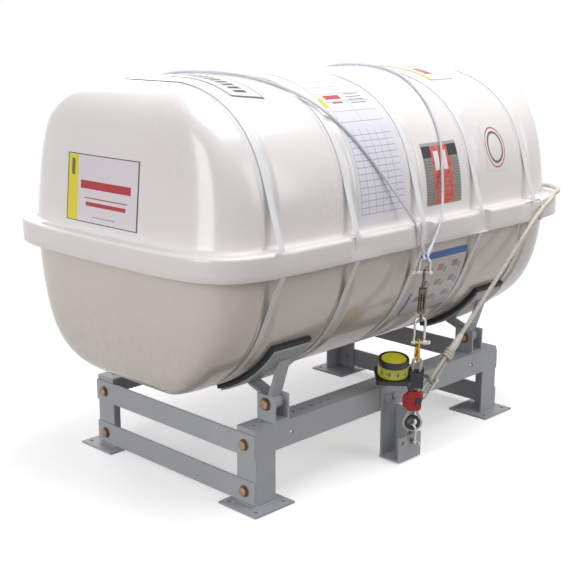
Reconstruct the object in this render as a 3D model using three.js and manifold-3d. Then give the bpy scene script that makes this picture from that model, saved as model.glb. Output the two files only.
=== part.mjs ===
// Life-raft canister lashed on its deck cradle, with a hydrostatic release, in millimetres.
// +X runs along the canister, -Y is the side with the release, +Z is up and z = 0 is the deck.
// The origin is under the middle of the canister, at deck level.
import * as THREE from 'three';
import { mergeVertices } from 'three/addons/utils/BufferGeometryUtils.js';
import Module from 'manifold-3d';

const wasm = await Module();
wasm.setup();

const gap = 0.3; // between pieces that touch

// Canister, two moulded halves
const bodyHalfLength = 782; // outside of the end wall at the belt
const bodyHalfWidth = 458; // outside of the side wall at the belt
const cornerReach = 835; // distance of the moulded corner faces from the middle
const formPower = 16; // how sharply the end, side and corner faces meet
const wall = 6;
const beltTop = 755;
const beltBottom = 688;
const beltReach = 42; // how far the belt stands out from the body
const beltEdge = 9; // rounding of the belt's upper edge
const beltFillet = 10; // rounding between the belt and the body
const flangeThickness = 6; // rim of the lower half, under the belt
const flangeClearance = 1.5;
const packClearance = 0.4;
const upperHalf = { height: 418, endDraft: 40, endPower: 9, sidePower: 2.5 };
const lowerHalf = { height: 402, endDraft: 20, endPower: 8, sidePower: 2 };
const quadrantAngles = [0, 21, 31, 37.5, 44.5, 51, 58, 74];
const outerLevels = [0, 0.04, 0.2, 0.42, 0.61, 0.77, 0.885, 0.955, 0.987, 0.9995];
const innerLevels = [0, 0.04, 0.42, 0.77, 0.955, 0.9995];

// Packing bands, with a recess in the belt for each
const bandSpacing = 288;
const bandShift = -20;
const bandWidth = 20;
const bandThickness = 1.8;
const bandClearance = 0.9;
const recessDepth = 12;
const recessFloor = 50; // width of the recess at its bottom
const recessMouth = 74;
const bandRun = 24; // shortest straight run of a band

// Cradle, welded and bolted steel angle
const cradleLength = 1145;
const cradleWidth = 720;
const angleSize = 76.2;
const steel = 6; // thickness of every plate and flange
const railTop = 231;
const footSize = 152.4;
const footOverhang = 43; // how far a foot plate stands outside its leg
const footHole = 14;
const footHoleInset = 23;
const barHeight = 66;
const lowerBarBottom = 14;
const upperBarBottom = 151;
const barBoltInset = 40; // from the cradle's corner
const barBolt = 12;
const railHole = 13;
const railHolePitch = 38.1;
const railHoleStart = 32; // first hole from the rail's end
const railHolePlaces = [0, 1, 4, 5, 6, 7, 8]; // the clevis stands over the others
const railFaceHoleInset = 142;
const faceHole = 14;

// Saddles that hold the canister
const saddleX = 465;
const clevisWidth = 58;
const clevisDepth = 70;
const clevisHeight = 76;
const clevisSetback = 40; // pivot line behind the rail's outer face
const pivotHeight = 50; // above the rail
const pivotBolt = 16;
const pivotClearance = 0.5;
const bossDiameter = 42;
const padClearance = 0.8;
const padThickness = 13;
const padWidth = 150;
const padMargin = 7; // how far the rubber stands past the plate
const padOuterY = 388; // the pad's upper edge, from the middle plane
const padInnerY = 165; // the pad's lower edge
const stemWidth = 44;
const stemThickness = 9;
const stemLean = 11.5; // degrees, outboard
const braceWidth = 44;
const braceY = 232; // where the brace meets the plate
const padSteps = 7;

// Release bracket under the middle of the front rail
const bracketLeft = -45;
const bracketRight = 60;
const bracketReach = 79; // forward of the rail's face
const bracketBottom = 4;
const lipHeight = 78;
const postLeft = -42;
const gussetTop = 160;
const lipHole = 15;
const lipHoleZ = 64;
const lipHoles = [-28, 14];
const bracketBoltXs = [-22, 12];
const bracketBoltZ = 193;

// Release gear, on one straight line from the lashing wires down to the bracket.
// Distances down this line are given from its top.
const lineTop = new THREE.Vector3(-45, -517, 648);
const lineBottom = new THREE.Vector3(lipHoles[1], -(cradleWidth / 2 + bracketReach - steel / 2), lipHoleZ);
const gearFacing = -45; // degrees, the way the gear's right-hand side points
const rod = 8; // shackles and hook
const pinDiameter = 9;
const looseFit = 0.5;
const frontShackle = { arc: 6, width: 30, length: 28 };
const eyeRod = 6;
const eyeRadius = 9; // middle line
const screwDiameter = 9;
const screwInside = 20;
const barrelTop = 84;
const barrel = { length: 78, width: 24, thickness: 15, slotWidth: 12, endLength: 14 };
const lowerEye = 176;
const longLink = { arc: 192.7, width: 30, length: 65 };
const hookEyeRadius = 10;
const hookCrown = 319;
const loopRope = 9;
const loopHalfWidth = 12;
const releaseBlock = { top: 346, bottom: 407, halfWidth: 22, halfDepth: 13 };
const ribs = 4;
const releaseBase = { top: 366, bottom: 379, left: -123, halfDepth: 52 };
const drum = { radius: 46.5, middle: -70, top: 310, ringHeight: 20, discInset: 6 };
const weakLink = { top: 420, bottom: 488, left: -34, right: 42, thickness: 15, earThickness: 7 };
const weakHole = { out: 29, down: 464, radius: 9.5 };
const thimble = { middle: 530, inner: 15, outer: 21.5, width: 9 };
const lowerShackle = { width: 30, slack: 4.5 };

// Painter line, from inside the canister to the weak link
const painterDiameter = 14;
const painterSteps = 40;
const painterEnd = new THREE.Vector3(526, -509, 690); // where it leaves the belt
const painterShackle = { arc: 18, width: 26, length: 60, rod: 7 };
const painterKnot = { from: 152, to: 194, radius: 15 };
const painterSleeve = { to: 250, radius: 11 };
const painterRoute = [
  [526, -509, 690], [582, -509, 727], [630, -507.5, 752], [664, -495, 763.5], [706, -482, 763.5],
  [748, -460, 763.5], [780, -428, 763.5], [801, -388, 763.5], [804, -340, 763.5], [808, -290, 766],
  [815, -264, 770], [812, -246, 775], [802, -239, 777],
];
const portPlace = [-238, 777];
const portRadius = 17;
const portReach = 6;

// Lashing wires, as places across the canister against the length of wire laid out so far
const wireDiameter = 8;
const wireHeight = 7.4; // middle of the wire above the canister, clear of the bands
const wireRun = 34; // shortest straight run of a wire
const ferrule = { diameter: 11, length: 34 };
const leftWire = { side: -1, places: [[57, -55], [110, -66], [178, -108], [331, -226], [470, -298], [641, -378], [860, -430], [1300, -440]], anchorX: -400 };
const rightWire = { side: 1, places: [[74, 43], [126, 96], [186, 116], [280, 122], [446, 155], [633, 206], [860, 262], [1300, 300]], anchorX: 330 };
const anchor = { width: 60, height: 56, lug: 5, holeRadius: 8, reach: 24, holeZ: 196 };

const grey = { color: 0x9a9ea3, roughness: 0.5, metalness: 0.1 };
const materials = {
  shell: new THREE.MeshStandardMaterial({ color: 0xe8e4e2, roughness: 0.25, metalness: 0 }),
  pack: new THREE.MeshStandardMaterial({ color: 0xd86820, roughness: 0.8, metalness: 0 }),
  band: new THREE.MeshStandardMaterial({ color: 0xe9eced, roughness: 0.45, metalness: 0 }),
  cradle: new THREE.MeshStandardMaterial(grey),
  rubber: new THREE.MeshStandardMaterial({ color: 0x17161a, roughness: 0.85, metalness: 0 }),
  bolt: new THREE.MeshStandardMaterial({ color: 0x86705a, roughness: 0.45, metalness: 0.7 }),
  wire: new THREE.MeshStandardMaterial({ color: 0xc9cad4, roughness: 0.35, metalness: 0.1 }),
  steel: new THREE.MeshStandardMaterial({ color: 0xb4b4b0, roughness: 0.3, metalness: 0.9 }),
  darkSteel: new THREE.MeshStandardMaterial({ color: 0x6b615c, roughness: 0.4, metalness: 0.8 }),
  brass: new THREE.MeshStandardMaterial({ color: 0xc79a45, roughness: 0.35, metalness: 0.85 }),
  blackPlastic: new THREE.MeshStandardMaterial({ color: 0x18161c, roughness: 0.55, metalness: 0 }),
  yellowPlastic: new THREE.MeshStandardMaterial({ color: 0xc6c416, roughness: 0.4, metalness: 0 }),
  redPlastic: new THREE.MeshStandardMaterial({ color: 0x9c0e0e, roughness: 0.4, metalness: 0 }),
  rope: new THREE.MeshStandardMaterial({ color: 0xe4dfcf, roughness: 0.9, metalness: 0 }),
};

// Merges shared vertices, drops collapsed triangles and turns the faces outward.
function closed(geometry) {
  const bare = new THREE.BufferGeometry();
  bare.setAttribute('position', geometry.getAttribute('position').clone());
  if (geometry.index) bare.setIndex(geometry.index.clone());
  const merged = mergeVertices(bare, 1e-3);
  const position = merged.getAttribute('position');
  const corner = [new THREE.Vector3(), new THREE.Vector3(), new THREE.Vector3()];
  const kept = [];
  let volume = 0;
  for (let i = 0; i < merged.index.count; i += 3) {
    const ids = [0, 1, 2].map((k) => merged.index.getX(i + k));
    if (ids[0] === ids[1] || ids[1] === ids[2] || ids[2] === ids[0]) continue;
    ids.forEach((id, k) => corner[k].fromBufferAttribute(position, id));
    volume += corner[0].dot(corner[1].cross(corner[2]));
    kept.push(...ids);
  }
  if (volume < 0) kept.reverse();
  merged.setIndex(kept);
  return merged;
}

function toSolid(geometry) {
  const merged = closed(geometry);
  return new wasm.Manifold(new wasm.Mesh({
    numProp: 3,
    vertProperties: new Float32Array(merged.getAttribute('position').array),
    triVerts: new Uint32Array(merged.index.array),
  }));
}

function toGeometry(solid) {
  const mesh = solid.getMesh();
  const geometry = new THREE.BufferGeometry();
  const positions = new Float32Array(mesh.numVert * 3);
  for (let i = 0; i < mesh.numVert; i += 1) {
    for (let k = 0; k < 3; k += 1) positions[i * 3 + k] = mesh.vertProperties[i * mesh.numProp + k];
  }
  geometry.setAttribute('position', new THREE.BufferAttribute(positions, 3));
  geometry.setIndex(new THREE.BufferAttribute(new Uint32Array(mesh.triVerts), 1));
  return geometry;
}

function joined(...geometries) {
  return toGeometry(geometries.map(toSolid).reduce((whole, next) => whole.add(next)));
}

function cut(geometry, ...tools) {
  return toGeometry(tools.map(toSolid).reduce((whole, tool) => whole.subtract(tool), toSolid(geometry)));
}

function common(first, second) {
  return toGeometry(toSolid(first).intersect(toSolid(second)));
}

function box(x0, x1, y0, y1, z0, z1) {
  const geometry = new THREE.BoxGeometry(x1 - x0, y1 - y0, z1 - z0);
  return geometry.translate((x0 + x1) / 2, (y0 + y1) / 2, (z0 + z1) / 2);
}

// A round bar of the given axis ('x', 'y' or 'z') between two places on it.
function bar(axis, from, to, radius, across, sides = 12) {
  const geometry = new THREE.CylinderGeometry(radius, radius, Math.abs(to - from), sides);
  const middle = (from + to) / 2;
  if (axis === 'x') return geometry.rotateZ(Math.PI / 2).translate(middle, across[0], across[1]);
  if (axis === 'y') return geometry.translate(across[0], middle, across[1]);
  return geometry.rotateX(Math.PI / 2).translate(across[0], across[1], middle);
}

function polygon(points) {
  return new THREE.Shape(points.map(([u, v]) => new THREE.Vector2(u, v)));
}

// Extrudes an outline drawn in (y, z) along X.
function alongX(outline, x0, x1) {
  const geometry = new THREE.ExtrudeGeometry(polygon(outline), { depth: x1 - x0, bevelEnabled: false });
  const turn = new THREE.Matrix4().set(0, 0, 1, x0, 1, 0, 0, 0, 0, 1, 0, 0, 0, 0, 0, 1);
  return geometry.applyMatrix4(turn);
}

// Extrudes an outline drawn in (x, z) along Y, centred on y = 0.
function plateXZ(shape, thickness, curveSegments = 8) {
  const geometry = new THREE.ExtrudeGeometry(shape, { depth: thickness, bevelEnabled: false, curveSegments });
  return geometry.rotateX(Math.PI / 2).translate(0, thickness / 2, 0);
}

// A round rod or cord along a curve.
function tube(curve, diameter, steps, sides = 8) {
  const section = new THREE.Shape();
  for (let i = 0; i < sides; i += 1) {
    const angle = (i / sides) * 2 * Math.PI;
    const u = (diameter / 2) * Math.cos(angle);
    const v = (diameter / 2) * Math.sin(angle);
    if (i === 0) section.moveTo(u, v);
    else section.lineTo(u, v);
  }
  return new THREE.ExtrudeGeometry(section, { steps, bevelEnabled: false, extrudePath: curve });
}

function spline(points) {
  return new THREE.CatmullRomCurve3(points.map((p) => new THREE.Vector3(...p)), false, 'centripetal');
}

function mirrored(geometry, side) {
  return side < 0 ? geometry : geometry.clone().scale(1, -1, 1);
}

const part = new THREE.Group();

function piece(name, geometry, material, parent = part) {
  const mesh = new THREE.Mesh(closed(geometry), material);
  mesh.name = name;
  parent.add(mesh);
  return mesh;
}

// One closed line round the canister: end, side and corner faces blended into each other.
function planRing(endX, sideY, corner, z) {
  const ring = [];
  for (let quarter = 0; quarter < 4; quarter += 1) {
    const signX = quarter === 0 || quarter === 3 ? 1 : -1;
    const signY = quarter < 2 ? 1 : -1;
    for (const step of quadrantAngles) {
      const angle = THREE.MathUtils.degToRad(quarter % 2 === 0 ? step : 90 - step);
      const aim = new THREE.Vector2(bodyHalfLength * Math.cos(angle), bodyHalfWidth * Math.sin(angle)).normalize();
      const reach = (aim.x / endX) ** formPower + (aim.y / sideY) ** formPower
        + ((aim.x + aim.y) * Math.SQRT1_2 / corner) ** formPower;
      aim.multiplyScalar(reach ** (-1 / formPower));
      ring.push([signX * aim.x, signY * aim.y, z]);
    }
  }
  return ring;
}

// Lines round one half of the canister, from the belt to its crown or keel.
function domeRings(half, beltZ, direction, inset, levels) {
  const length = bodyHalfLength - inset;
  const width = bodyHalfWidth - inset;
  const height = half.height - inset;
  return levels.map((t) => {
    const endX = (length - half.endDraft * t) * (1 - t ** half.endPower) ** (1 / half.endPower);
    const sideY = width * (1 - t ** half.sidePower) ** (1 / half.sidePower);
    return planRing(endX, sideY, cornerReach - inset - half.endDraft * t, beltZ + direction * t * height);
  });
}

function offsetRing(offset, z) {
  return planRing(bodyHalfLength + offset, bodyHalfWidth + offset, cornerReach + offset, z);
}

// Skins a stack of equal rings and closes it with a point at each end.
// Each four-sided face is split along the diagonal that keeps the form bulging outward.
function stack(rings) {
  const count = rings[0].length;
  const middle = (ring) => [0, 0, ring[0][2]];
  const points = [...rings.flat(), middle(rings[0]), middle(rings.at(-1))];
  const faces = [];
  for (let i = 0; i < rings.length - 1; i += 1) {
    for (let k = 0; k < count; k += 1) {
      const a = i * count + k;
      const b = i * count + ((k + 1) % count);
      const bulge = (p, q) => Math.hypot(points[p][0] + points[q][0], points[p][1] + points[q][1], points[p][2] + points[q][2] - 2 * beltTop);
      if (bulge(a, b + count) > bulge(b, a + count)) faces.push(a, b, b + count, a, b + count, a + count);
      else faces.push(a, b, a + count, b, b + count, a + count);
    }
  }
  const first = rings.length * count;
  const last = (rings.length - 1) * count;
  for (let k = 0; k < count; k += 1) {
    const next = (k + 1) % count;
    faces.push(first, next, k, first + 1, last + k, last + next);
  }
  const geometry = new THREE.BufferGeometry();
  geometry.setAttribute('position', new THREE.Float32BufferAttribute(points.flat(), 3));
  geometry.setIndex(faces);
  return geometry;
}

const bandXs = [-2, -1, 0, 1, 2].map((k) => k * bandSpacing + bandShift);
const beltOuterY = bodyHalfWidth + beltReach;

// The pocket that a band lies in, cut into the belt's outer face.
function recessTool(x, side, extra) {
  const outer = beltOuterY + 20;
  const floor = beltOuterY - recessDepth - extra;
  const slope = (recessMouth - recessFloor) / 2 / recessDepth;
  const halfFloor = recessFloor / 2 + extra;
  const halfOuter = halfFloor + slope * (outer - floor);
  const outline = polygon([[x - halfFloor, floor], [x + halfFloor, floor], [x + halfOuter, outer], [x - halfOuter, outer]]);
  const height = beltTop - beltBottom + 20;
  const tool = new THREE.ExtrudeGeometry(outline, { depth: height, bevelEnabled: false });
  return mirrored(tool.translate(0, 0, beltBottom - 10), -side);
}

function withRecesses(block, extra) {
  const tools = bandXs.flatMap((x) => [recessTool(x, -1, extra), recessTool(x, 1, extra)]);
  return cut(block, ...tools);
}

function makeUpperShell() {
  const outside = withRecesses(stack([
    offsetRing(beltReach, beltBottom),
    offsetRing(beltReach, beltTop - beltEdge),
    offsetRing(beltReach - beltEdge, beltTop),
    offsetRing(beltFillet, beltTop),
    ...domeRings(upperHalf, beltTop, 1, 0, outerLevels).slice(1),
  ]), 0);
  const ceiling = beltTop - wall;
  const inside = withRecesses(stack([
    offsetRing(beltReach - wall, beltBottom - 5),
    offsetRing(beltReach - wall, ceiling),
    offsetRing(beltFillet - wall, ceiling),
    ...domeRings(upperHalf, beltTop, 1, wall, innerLevels).slice(1),
  ]), wall);
  const port = bar('x', bodyHalfLength - 40, bodyHalfLength + 30, portRadius, portPlace, 16);
  return cut(outside, inside, port);
}

const partingZ = beltTop - wall - gap;

function makeLowerShell() {
  const reach = beltReach - wall - flangeClearance;
  const outside = withRecesses(stack([
    ...domeRings(lowerHalf, beltBottom, -1, 0, outerLevels).reverse(),
    offsetRing(0, partingZ - flangeThickness),
    offsetRing(reach, partingZ - flangeThickness + 0.01),
    offsetRing(reach, partingZ),
  ]), wall + flangeClearance);
  const inside = stack([
    ...domeRings(lowerHalf, beltBottom, -1, wall, innerLevels).reverse(),
    offsetRing(-wall, partingZ + 5),
  ]);
  return cut(outside, inside);
}

function makePack() {
  const inset = wall + packClearance;
  return stack([
    ...domeRings(lowerHalf, beltBottom, -1, inset, innerLevels).reverse(),
    ...domeRings(upperHalf, beltTop, 1, inset, innerLevels).slice(1),
  ]);
}

// Places where a skinned form crosses the plane at x, as (y, z).
function crossing(geometry, x) {
  const position = geometry.getAttribute('position');
  const points = [];
  for (let i = 0; i < geometry.index.count; i += 3) {
    for (let k = 0; k < 3; k += 1) {
      const a = new THREE.Vector3().fromBufferAttribute(position, geometry.index.getX(i + k));
      const b = new THREE.Vector3().fromBufferAttribute(position, geometry.index.getX(i + ((k + 1) % 3)));
      if ((a.x - x) * (b.x - x) >= 0) continue;
      a.lerp(b, (x - a.x) / (b.x - a.x));
      points.push([a.y, a.z]);
    }
  }
  return points;
}

// Convex outline of the places given.
function hull(points) {
  const turn = (o, a, b) => (a[0] - o[0]) * (b[1] - o[1]) - (a[1] - o[1]) * (b[0] - o[0]);
  const chain = (list) => {
    const out = [];
    for (const p of list) {
      while (out.length > 1 && turn(out.at(-2), out.at(-1), p) <= 1e-6) out.pop();
      out.push(p);
    }
    return out.slice(0, -1);
  };
  const sorted = [...points].sort((a, b) => a[0] - b[0] || a[1] - b[1]);
  return [...chain(sorted), ...chain(sorted.reverse())];
}

// Outline of straight runs drawn tight round the places given, at an offset from them.
function wrapped(points, offset, shortest) {
  const corners = hull(points);
  const lines = [];
  corners.forEach((a, i) => {
    const b = corners[(i + 1) % corners.length];
    const length = Math.hypot(b[0] - a[0], b[1] - a[1]);
    if (length < shortest) return;
    const out = [(b[1] - a[1]) / length, (a[0] - b[0]) / length];
    lines.push({ out, reach: a[0] * out[0] + a[1] * out[1] + offset });
  });
  return lines.map((one, i) => {
    const next = lines[(i + 1) % lines.length];
    const spread = one.out[0] * next.out[1] - one.out[1] * next.out[0];
    return [
      (one.reach * next.out[1] - next.reach * one.out[1]) / spread,
      (one.out[0] * next.reach - next.out[0] * one.reach) / spread,
    ];
  });
}

const upperForm = stack(domeRings(upperHalf, beltTop, 1, 0, outerLevels));
const lowerForm = stack(domeRings(lowerHalf, beltBottom, -1, 0, outerLevels).reverse());

// A tight band touches both halves and the floor of the belt's recess.
function bandPoints(x) {
  const beltY = beltOuterY - recessDepth;
  const corners = [beltTop, beltBottom].flatMap((z) => [[-beltY, z], [beltY, z]]);
  const edges = [x - bandWidth / 2, x, x + bandWidth / 2];
  return [...edges.flatMap((at) => [...crossing(upperForm, at), ...crossing(lowerForm, at)]), ...corners];
}

function makeBand(x) {
  const points = bandPoints(x);
  const outer = wrapped(points, bandClearance + bandThickness, bandRun);
  const inner = wrapped(points, bandClearance, bandRun);
  return cut(alongX(outer, x - bandWidth / 2, x + bandWidth / 2), alongX(inner, x - bandWidth, x + bandWidth));
}

function makePort() {
  const x = bodyHalfLength - wall - 1;
  const collar = bar('x', x, bodyHalfLength + portReach, portRadius - gap, portPlace, 16);
  return cut(collar, bar('x', x - 5, bodyHalfLength + portReach + 5, painterDiameter / 2 + 2 * gap, portPlace, 12));
}

piece('upper_shell', makeUpperShell(), materials.shell);
piece('lower_shell', makeLowerShell(), materials.shell);
piece('raft_pack', makePack(), materials.pack);
bandXs.forEach((x, i) => piece(`band_${i + 1}`, makeBand(x), materials.band));

// Cradle
const frontY = -cradleWidth / 2;
const endX = cradleLength / 2;
const railBottom = railTop - angleSize;

function makeRail(side) {
  const top = box(-endX, endX, frontY, frontY + angleSize, railTop - steel, railTop);
  const face = box(-endX, endX, frontY, frontY + steel, railBottom, railTop);
  const holes = [];
  for (const k of railHolePlaces) {
    const x = endX - railHoleStart - k * railHolePitch;
    for (const end of [-1, 1]) {
      holes.push(bar('z', railTop - 20, railTop + 10, railHole / 2, [end * x, frontY + clevisSetback], 6));
    }
  }
  for (const end of [-1, 1]) {
    const place = [end * (endX - railFaceHoleInset), (railTop + railBottom) / 2];
    holes.push(bar('y', frontY - 5, frontY + 15, faceHole / 2, place, 6));
  }
  if (side < 0) {
    for (const x of bracketBoltXs) {
      holes.push(bar('y', frontY - 5, frontY + 15, barBolt / 2 + gap * 4, [x, bracketBoltZ], 6));
    }
  }
  return mirrored(cut(joined(top, face), ...holes), side);
}

const barBoltY = -frontY - barBoltInset;
const barBoltZs = [lowerBarBottom + barHeight / 2, upperBarBottom + barHeight / 2];

// Front left leg, welded to its foot plate; the others are its mirror images.
function makeLeg() {
  const left = -endX;
  const face = box(left, left + angleSize, frontY, frontY + steel, steel, railBottom - gap);
  const end = box(left, left + steel, frontY, frontY + angleSize, steel, railBottom - gap);
  const neck = box(left, left + steel, frontY + steel + gap, frontY + angleSize, railBottom - 5, railTop - steel - gap);
  const footX = left - footOverhang;
  const footY = frontY - footOverhang;
  const foot = box(footX, footX + footSize, footY, footY + footSize, 0, steel);
  const holes = [];
  for (const x of [footX + footHoleInset, footX + footSize - footHoleInset]) {
    for (const y of [footY + footHoleInset, footY + footSize - footHoleInset]) {
      holes.push(bar('z', -5, steel + 5, footHole / 2, [x, y], 6));
    }
  }
  for (const z of barBoltZs) {
    holes.push(bar('x', left - 5, left + 15, barBolt / 2 + gap * 4, [-barBoltY, z], 6));
  }
  return cut(joined(face, end, neck, foot), ...holes);
}

function hexBolt(axis, headFrom, headTo, shankTo, nutFrom, nutTo, diameter, across) {
  const head = bar(axis, headFrom, headTo, diameter * 0.92, across, 6);
  const shank = bar(axis, headTo, shankTo, diameter / 2, across, 6);
  const nut = bar(axis, nutFrom, nutTo, diameter * 0.92, across, 6);
  return [head, shank, nut];
}

// A flat bar across one end of the cradle, with its two bolts.
function makeCrossbar(bottom) {
  const outer = -endX - gap - steel;
  const plate = box(outer, outer + steel, frontY, -frontY, bottom, bottom + barHeight);
  const bolts = [-1, 1].flatMap((side) => {
    const place = [side * barBoltY, bottom + barHeight / 2];
    const nutFrom = -endX + steel + gap;
    return hexBolt('x', outer - 8, outer + 1, nutFrom + 12, nutFrom, nutFrom + 10, barBolt, place);
  });
  return joined(plate, ...bolts);
}

for (const [sideName, side] of [['front', -1], ['back', 1]]) {
  piece(`${sideName}_rail`, makeRail(side), materials.cradle);
  for (const [endName, end] of [['left', -1], ['right', 1]]) {
    const leg = mirrored(makeLeg(), side).scale(-end, 1, 1);
    piece(`${sideName}_${endName}_leg`, leg, materials.cradle);
  }
}
for (const [endName, end] of [['left', -1], ['right', 1]]) {
  for (const [level, bottom] of [['upper', upperBarBottom], ['lower', lowerBarBottom]]) {
    piece(`${level}_${endName}_crossbar`, makeCrossbar(bottom).scale(-end, 1, 1), materials.cradle);
  }
}

// Saddles, modelled at the front left and mirrored
const pivotY = frontY + clevisSetback;
const pivotZ = railTop + pivotHeight;
const lowerWidth = bodyHalfWidth;
const lowerDepth = lowerHalf.height;

// A point outside the lower half's cross-section, at height angle phi and an offset along the normal.
function underPoint(phi, offset) {
  const y = -lowerWidth * Math.cos(phi);
  const z = beltBottom - lowerDepth * Math.sin(phi);
  const normal = new THREE.Vector2(-Math.cos(phi) / lowerWidth, -Math.sin(phi) / lowerDepth).normalize();
  return [y + normal.x * offset, z + normal.y * offset];
}

function underStrip(outerY, innerY, near, far) {
  const from = Math.acos(outerY / lowerWidth);
  const to = Math.acos(innerY / lowerWidth);
  const upper = [];
  const lower = [];
  for (let i = 0; i <= padSteps; i += 1) {
    const phi = from + ((to - from) * i) / padSteps;
    upper.push(underPoint(phi, near));
    lower.push(underPoint(phi, far));
  }
  return [...upper, ...lower.reverse()];
}

const plateNear = padClearance + padThickness + 2 * gap;
const plateFar = plateNear + steel;

function makePad(x) {
  const outline = underStrip(padOuterY, padInnerY, padClearance, padClearance + padThickness);
  return alongX(outline, x - padWidth / 2, x + padWidth / 2);
}

// A flat bar between two (y, z) places, its width along X.
function strut(x, width, thickness, from, to) {
  const run = new THREE.Vector2(to[0] - from[0], to[1] - from[1]);
  const side = new THREE.Vector2(-run.y, run.x).setLength(thickness / 2);
  const corners = [[from, 1], [to, 1], [to, -1], [from, -1]].map(([p, s]) => [p[0] + s * side.x, p[1] + s * side.y]);
  return alongX(corners, x - width / 2, x + width / 2);
}

function makeSaddleFrame(x) {
  const plateOutline = underStrip(padOuterY - padMargin, padInnerY + padMargin, plateNear, plateFar);
  const plate = alongX(plateOutline, x - padWidth / 2 + padMargin, x + padWidth / 2 - padMargin);
  const inside = clevisWidth - 2 * steel - 2 * gap;
  const boss = bar('x', x - inside / 2, x + inside / 2, bossDiameter / 2, [pivotY, pivotZ], 10);
  const lean = Math.tan(THREE.MathUtils.degToRad(stemLean));
  const topPhi = Math.acos((-pivotY + lean * (beltBottom - lowerDepth * 0.66 - pivotZ)) / lowerWidth);
  const stemTop = underPoint(topPhi, plateFar - 0.6);
  const stem = strut(x, stemWidth, stemThickness, [pivotY - 4, pivotZ + bossDiameter * 0.38], stemTop);
  const foot = strut(x, inside, stemThickness, [pivotY, pivotZ + 6], [pivotY - 10, pivotZ + bossDiameter * 0.9]);
  const braceTop = underPoint(Math.acos(braceY / lowerWidth), plateFar - 0.6);
  const brace = strut(x, braceWidth, stemThickness, [pivotY + 14, pivotZ + bossDiameter * 0.48], braceTop);
  const braceFoot = strut(x, inside, stemThickness, [pivotY + 4, pivotZ + 5], [pivotY + 26, pivotZ + bossDiameter * 0.6]);
  const whole = joined(plate, boss, stem, foot, brace, braceFoot);
  const bore = bar('x', x - clevisWidth, x + clevisWidth, pivotBolt / 2 + pivotClearance, [pivotY, pivotZ], 12);
  return cut(whole, bore);
}

function makeClevis(x) {
  const left = x - clevisWidth / 2;
  const right = x + clevisWidth / 2;
  const near = pivotY - clevisDepth / 2;
  const far = pivotY + clevisDepth / 2;
  const bottom = railTop + gap;
  const block = box(left, right, near, far, bottom, bottom + clevisHeight);
  const mouth = box(left + steel, right - steel, near - 5, far + 5, bottom + steel, bottom + clevisHeight + 5);
  const bore = bar('x', left - 5, right + 5, pivotBolt / 2 + pivotClearance, [pivotY, pivotZ], 12);
  return cut(block, mouth, bore);
}

function makePivotBolt(x) {
  const head = x - clevisWidth / 2 - gap;
  const nut = x + clevisWidth / 2 + gap;
  return joined(
    bar('x', head - 10, head, pivotBolt * 0.9, [pivotY, pivotZ], 6),
    bar('x', head - 1, nut + 16, pivotBolt / 2, [pivotY, pivotZ], 8),
    bar('x', nut, nut + 13, pivotBolt * 0.9, [pivotY, pivotZ], 6),
  );
}

for (const [sideName, side] of [['front', -1], ['back', 1]]) {
  for (const [endName, end] of [['left', -1], ['right', 1]]) {
    const name = `${sideName}_${endName}`;
    const x = end * saddleX;
    piece(`${name}_clevis`, mirrored(makeClevis(x), side), materials.cradle);
    piece(`${name}_saddle_frame`, mirrored(makeSaddleFrame(x), side), materials.cradle);
    piece(`${name}_saddle_pad`, mirrored(makePad(x), side), materials.rubber);
    piece(`${name}_pivot_bolt`, mirrored(makePivotBolt(x), side), materials.bolt);
  }
}

// Release bracket: a hanger post, a side gusset, a ledge and a front lip, welded into one
const postRight = postLeft + angleSize;
const bracketBack = frontY - gap;
const lipBack = frontY - bracketReach + steel;

function makeBracket() {
  const post = box(postLeft, postRight, bracketBack - steel, bracketBack, bracketBottom, railTop);
  const gusset = box(postRight - steel, postRight, lipBack - 1, bracketBack, bracketBottom, gussetTop);
  const ledge = box(bracketLeft, bracketRight, frontY - bracketReach, bracketBack, bracketBottom, bracketBottom + steel);
  const lip = box(bracketLeft, bracketRight, frontY - bracketReach, lipBack, bracketBottom, bracketBottom + lipHeight);
  const bolts = bracketBoltXs.flatMap((x) => {
    const back = frontY + steel + gap;
    const head = bracketBack - steel;
    return hexBolt('y', head - 8, head + 1, back + 12, back, back + 10, barBolt, [x, bracketBoltZ]);
  });
  const holes = lipHoles.map((x) => bar('y', lipBack - 20, lipBack + 10, lipHole / 2, [x, lipHoleZ], 8));
  return cut(joined(post, gusset, ledge, lip, ...bolts), ...holes);
}

piece('hanger_bracket', makeBracket(), materials.cradle);

// Everything on the release line is modelled in the line's own frame: +Z up the line, +X to the
// right as one faces the gear, and the line's top at the origin.
const lineUp = lineTop.clone().sub(lineBottom).normalize();
const facing = THREE.MathUtils.degToRad(gearFacing);
const lineRight = new THREE.Vector3(Math.cos(facing), Math.sin(facing), 0);
lineRight.addScaledVector(lineUp, -lineRight.dot(lineUp)).normalize();

function frameOf(right, up, origin) {
  const away = new THREE.Vector3().crossVectors(up, right);
  return new THREE.Matrix4().makeBasis(right, away, up).setPosition(origin);
}

const lineAway = new THREE.Vector3().crossVectors(lineUp, lineRight);
const lineFrame = frameOf(lineRight, lineUp, lineTop);

function onLine(geometry) {
  return geometry.clone().applyMatrix4(lineFrame);
}

function placeOnLine(x, y, down) {
  return new THREE.Vector3(x, y, -down).applyMatrix4(lineFrame);
}

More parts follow.
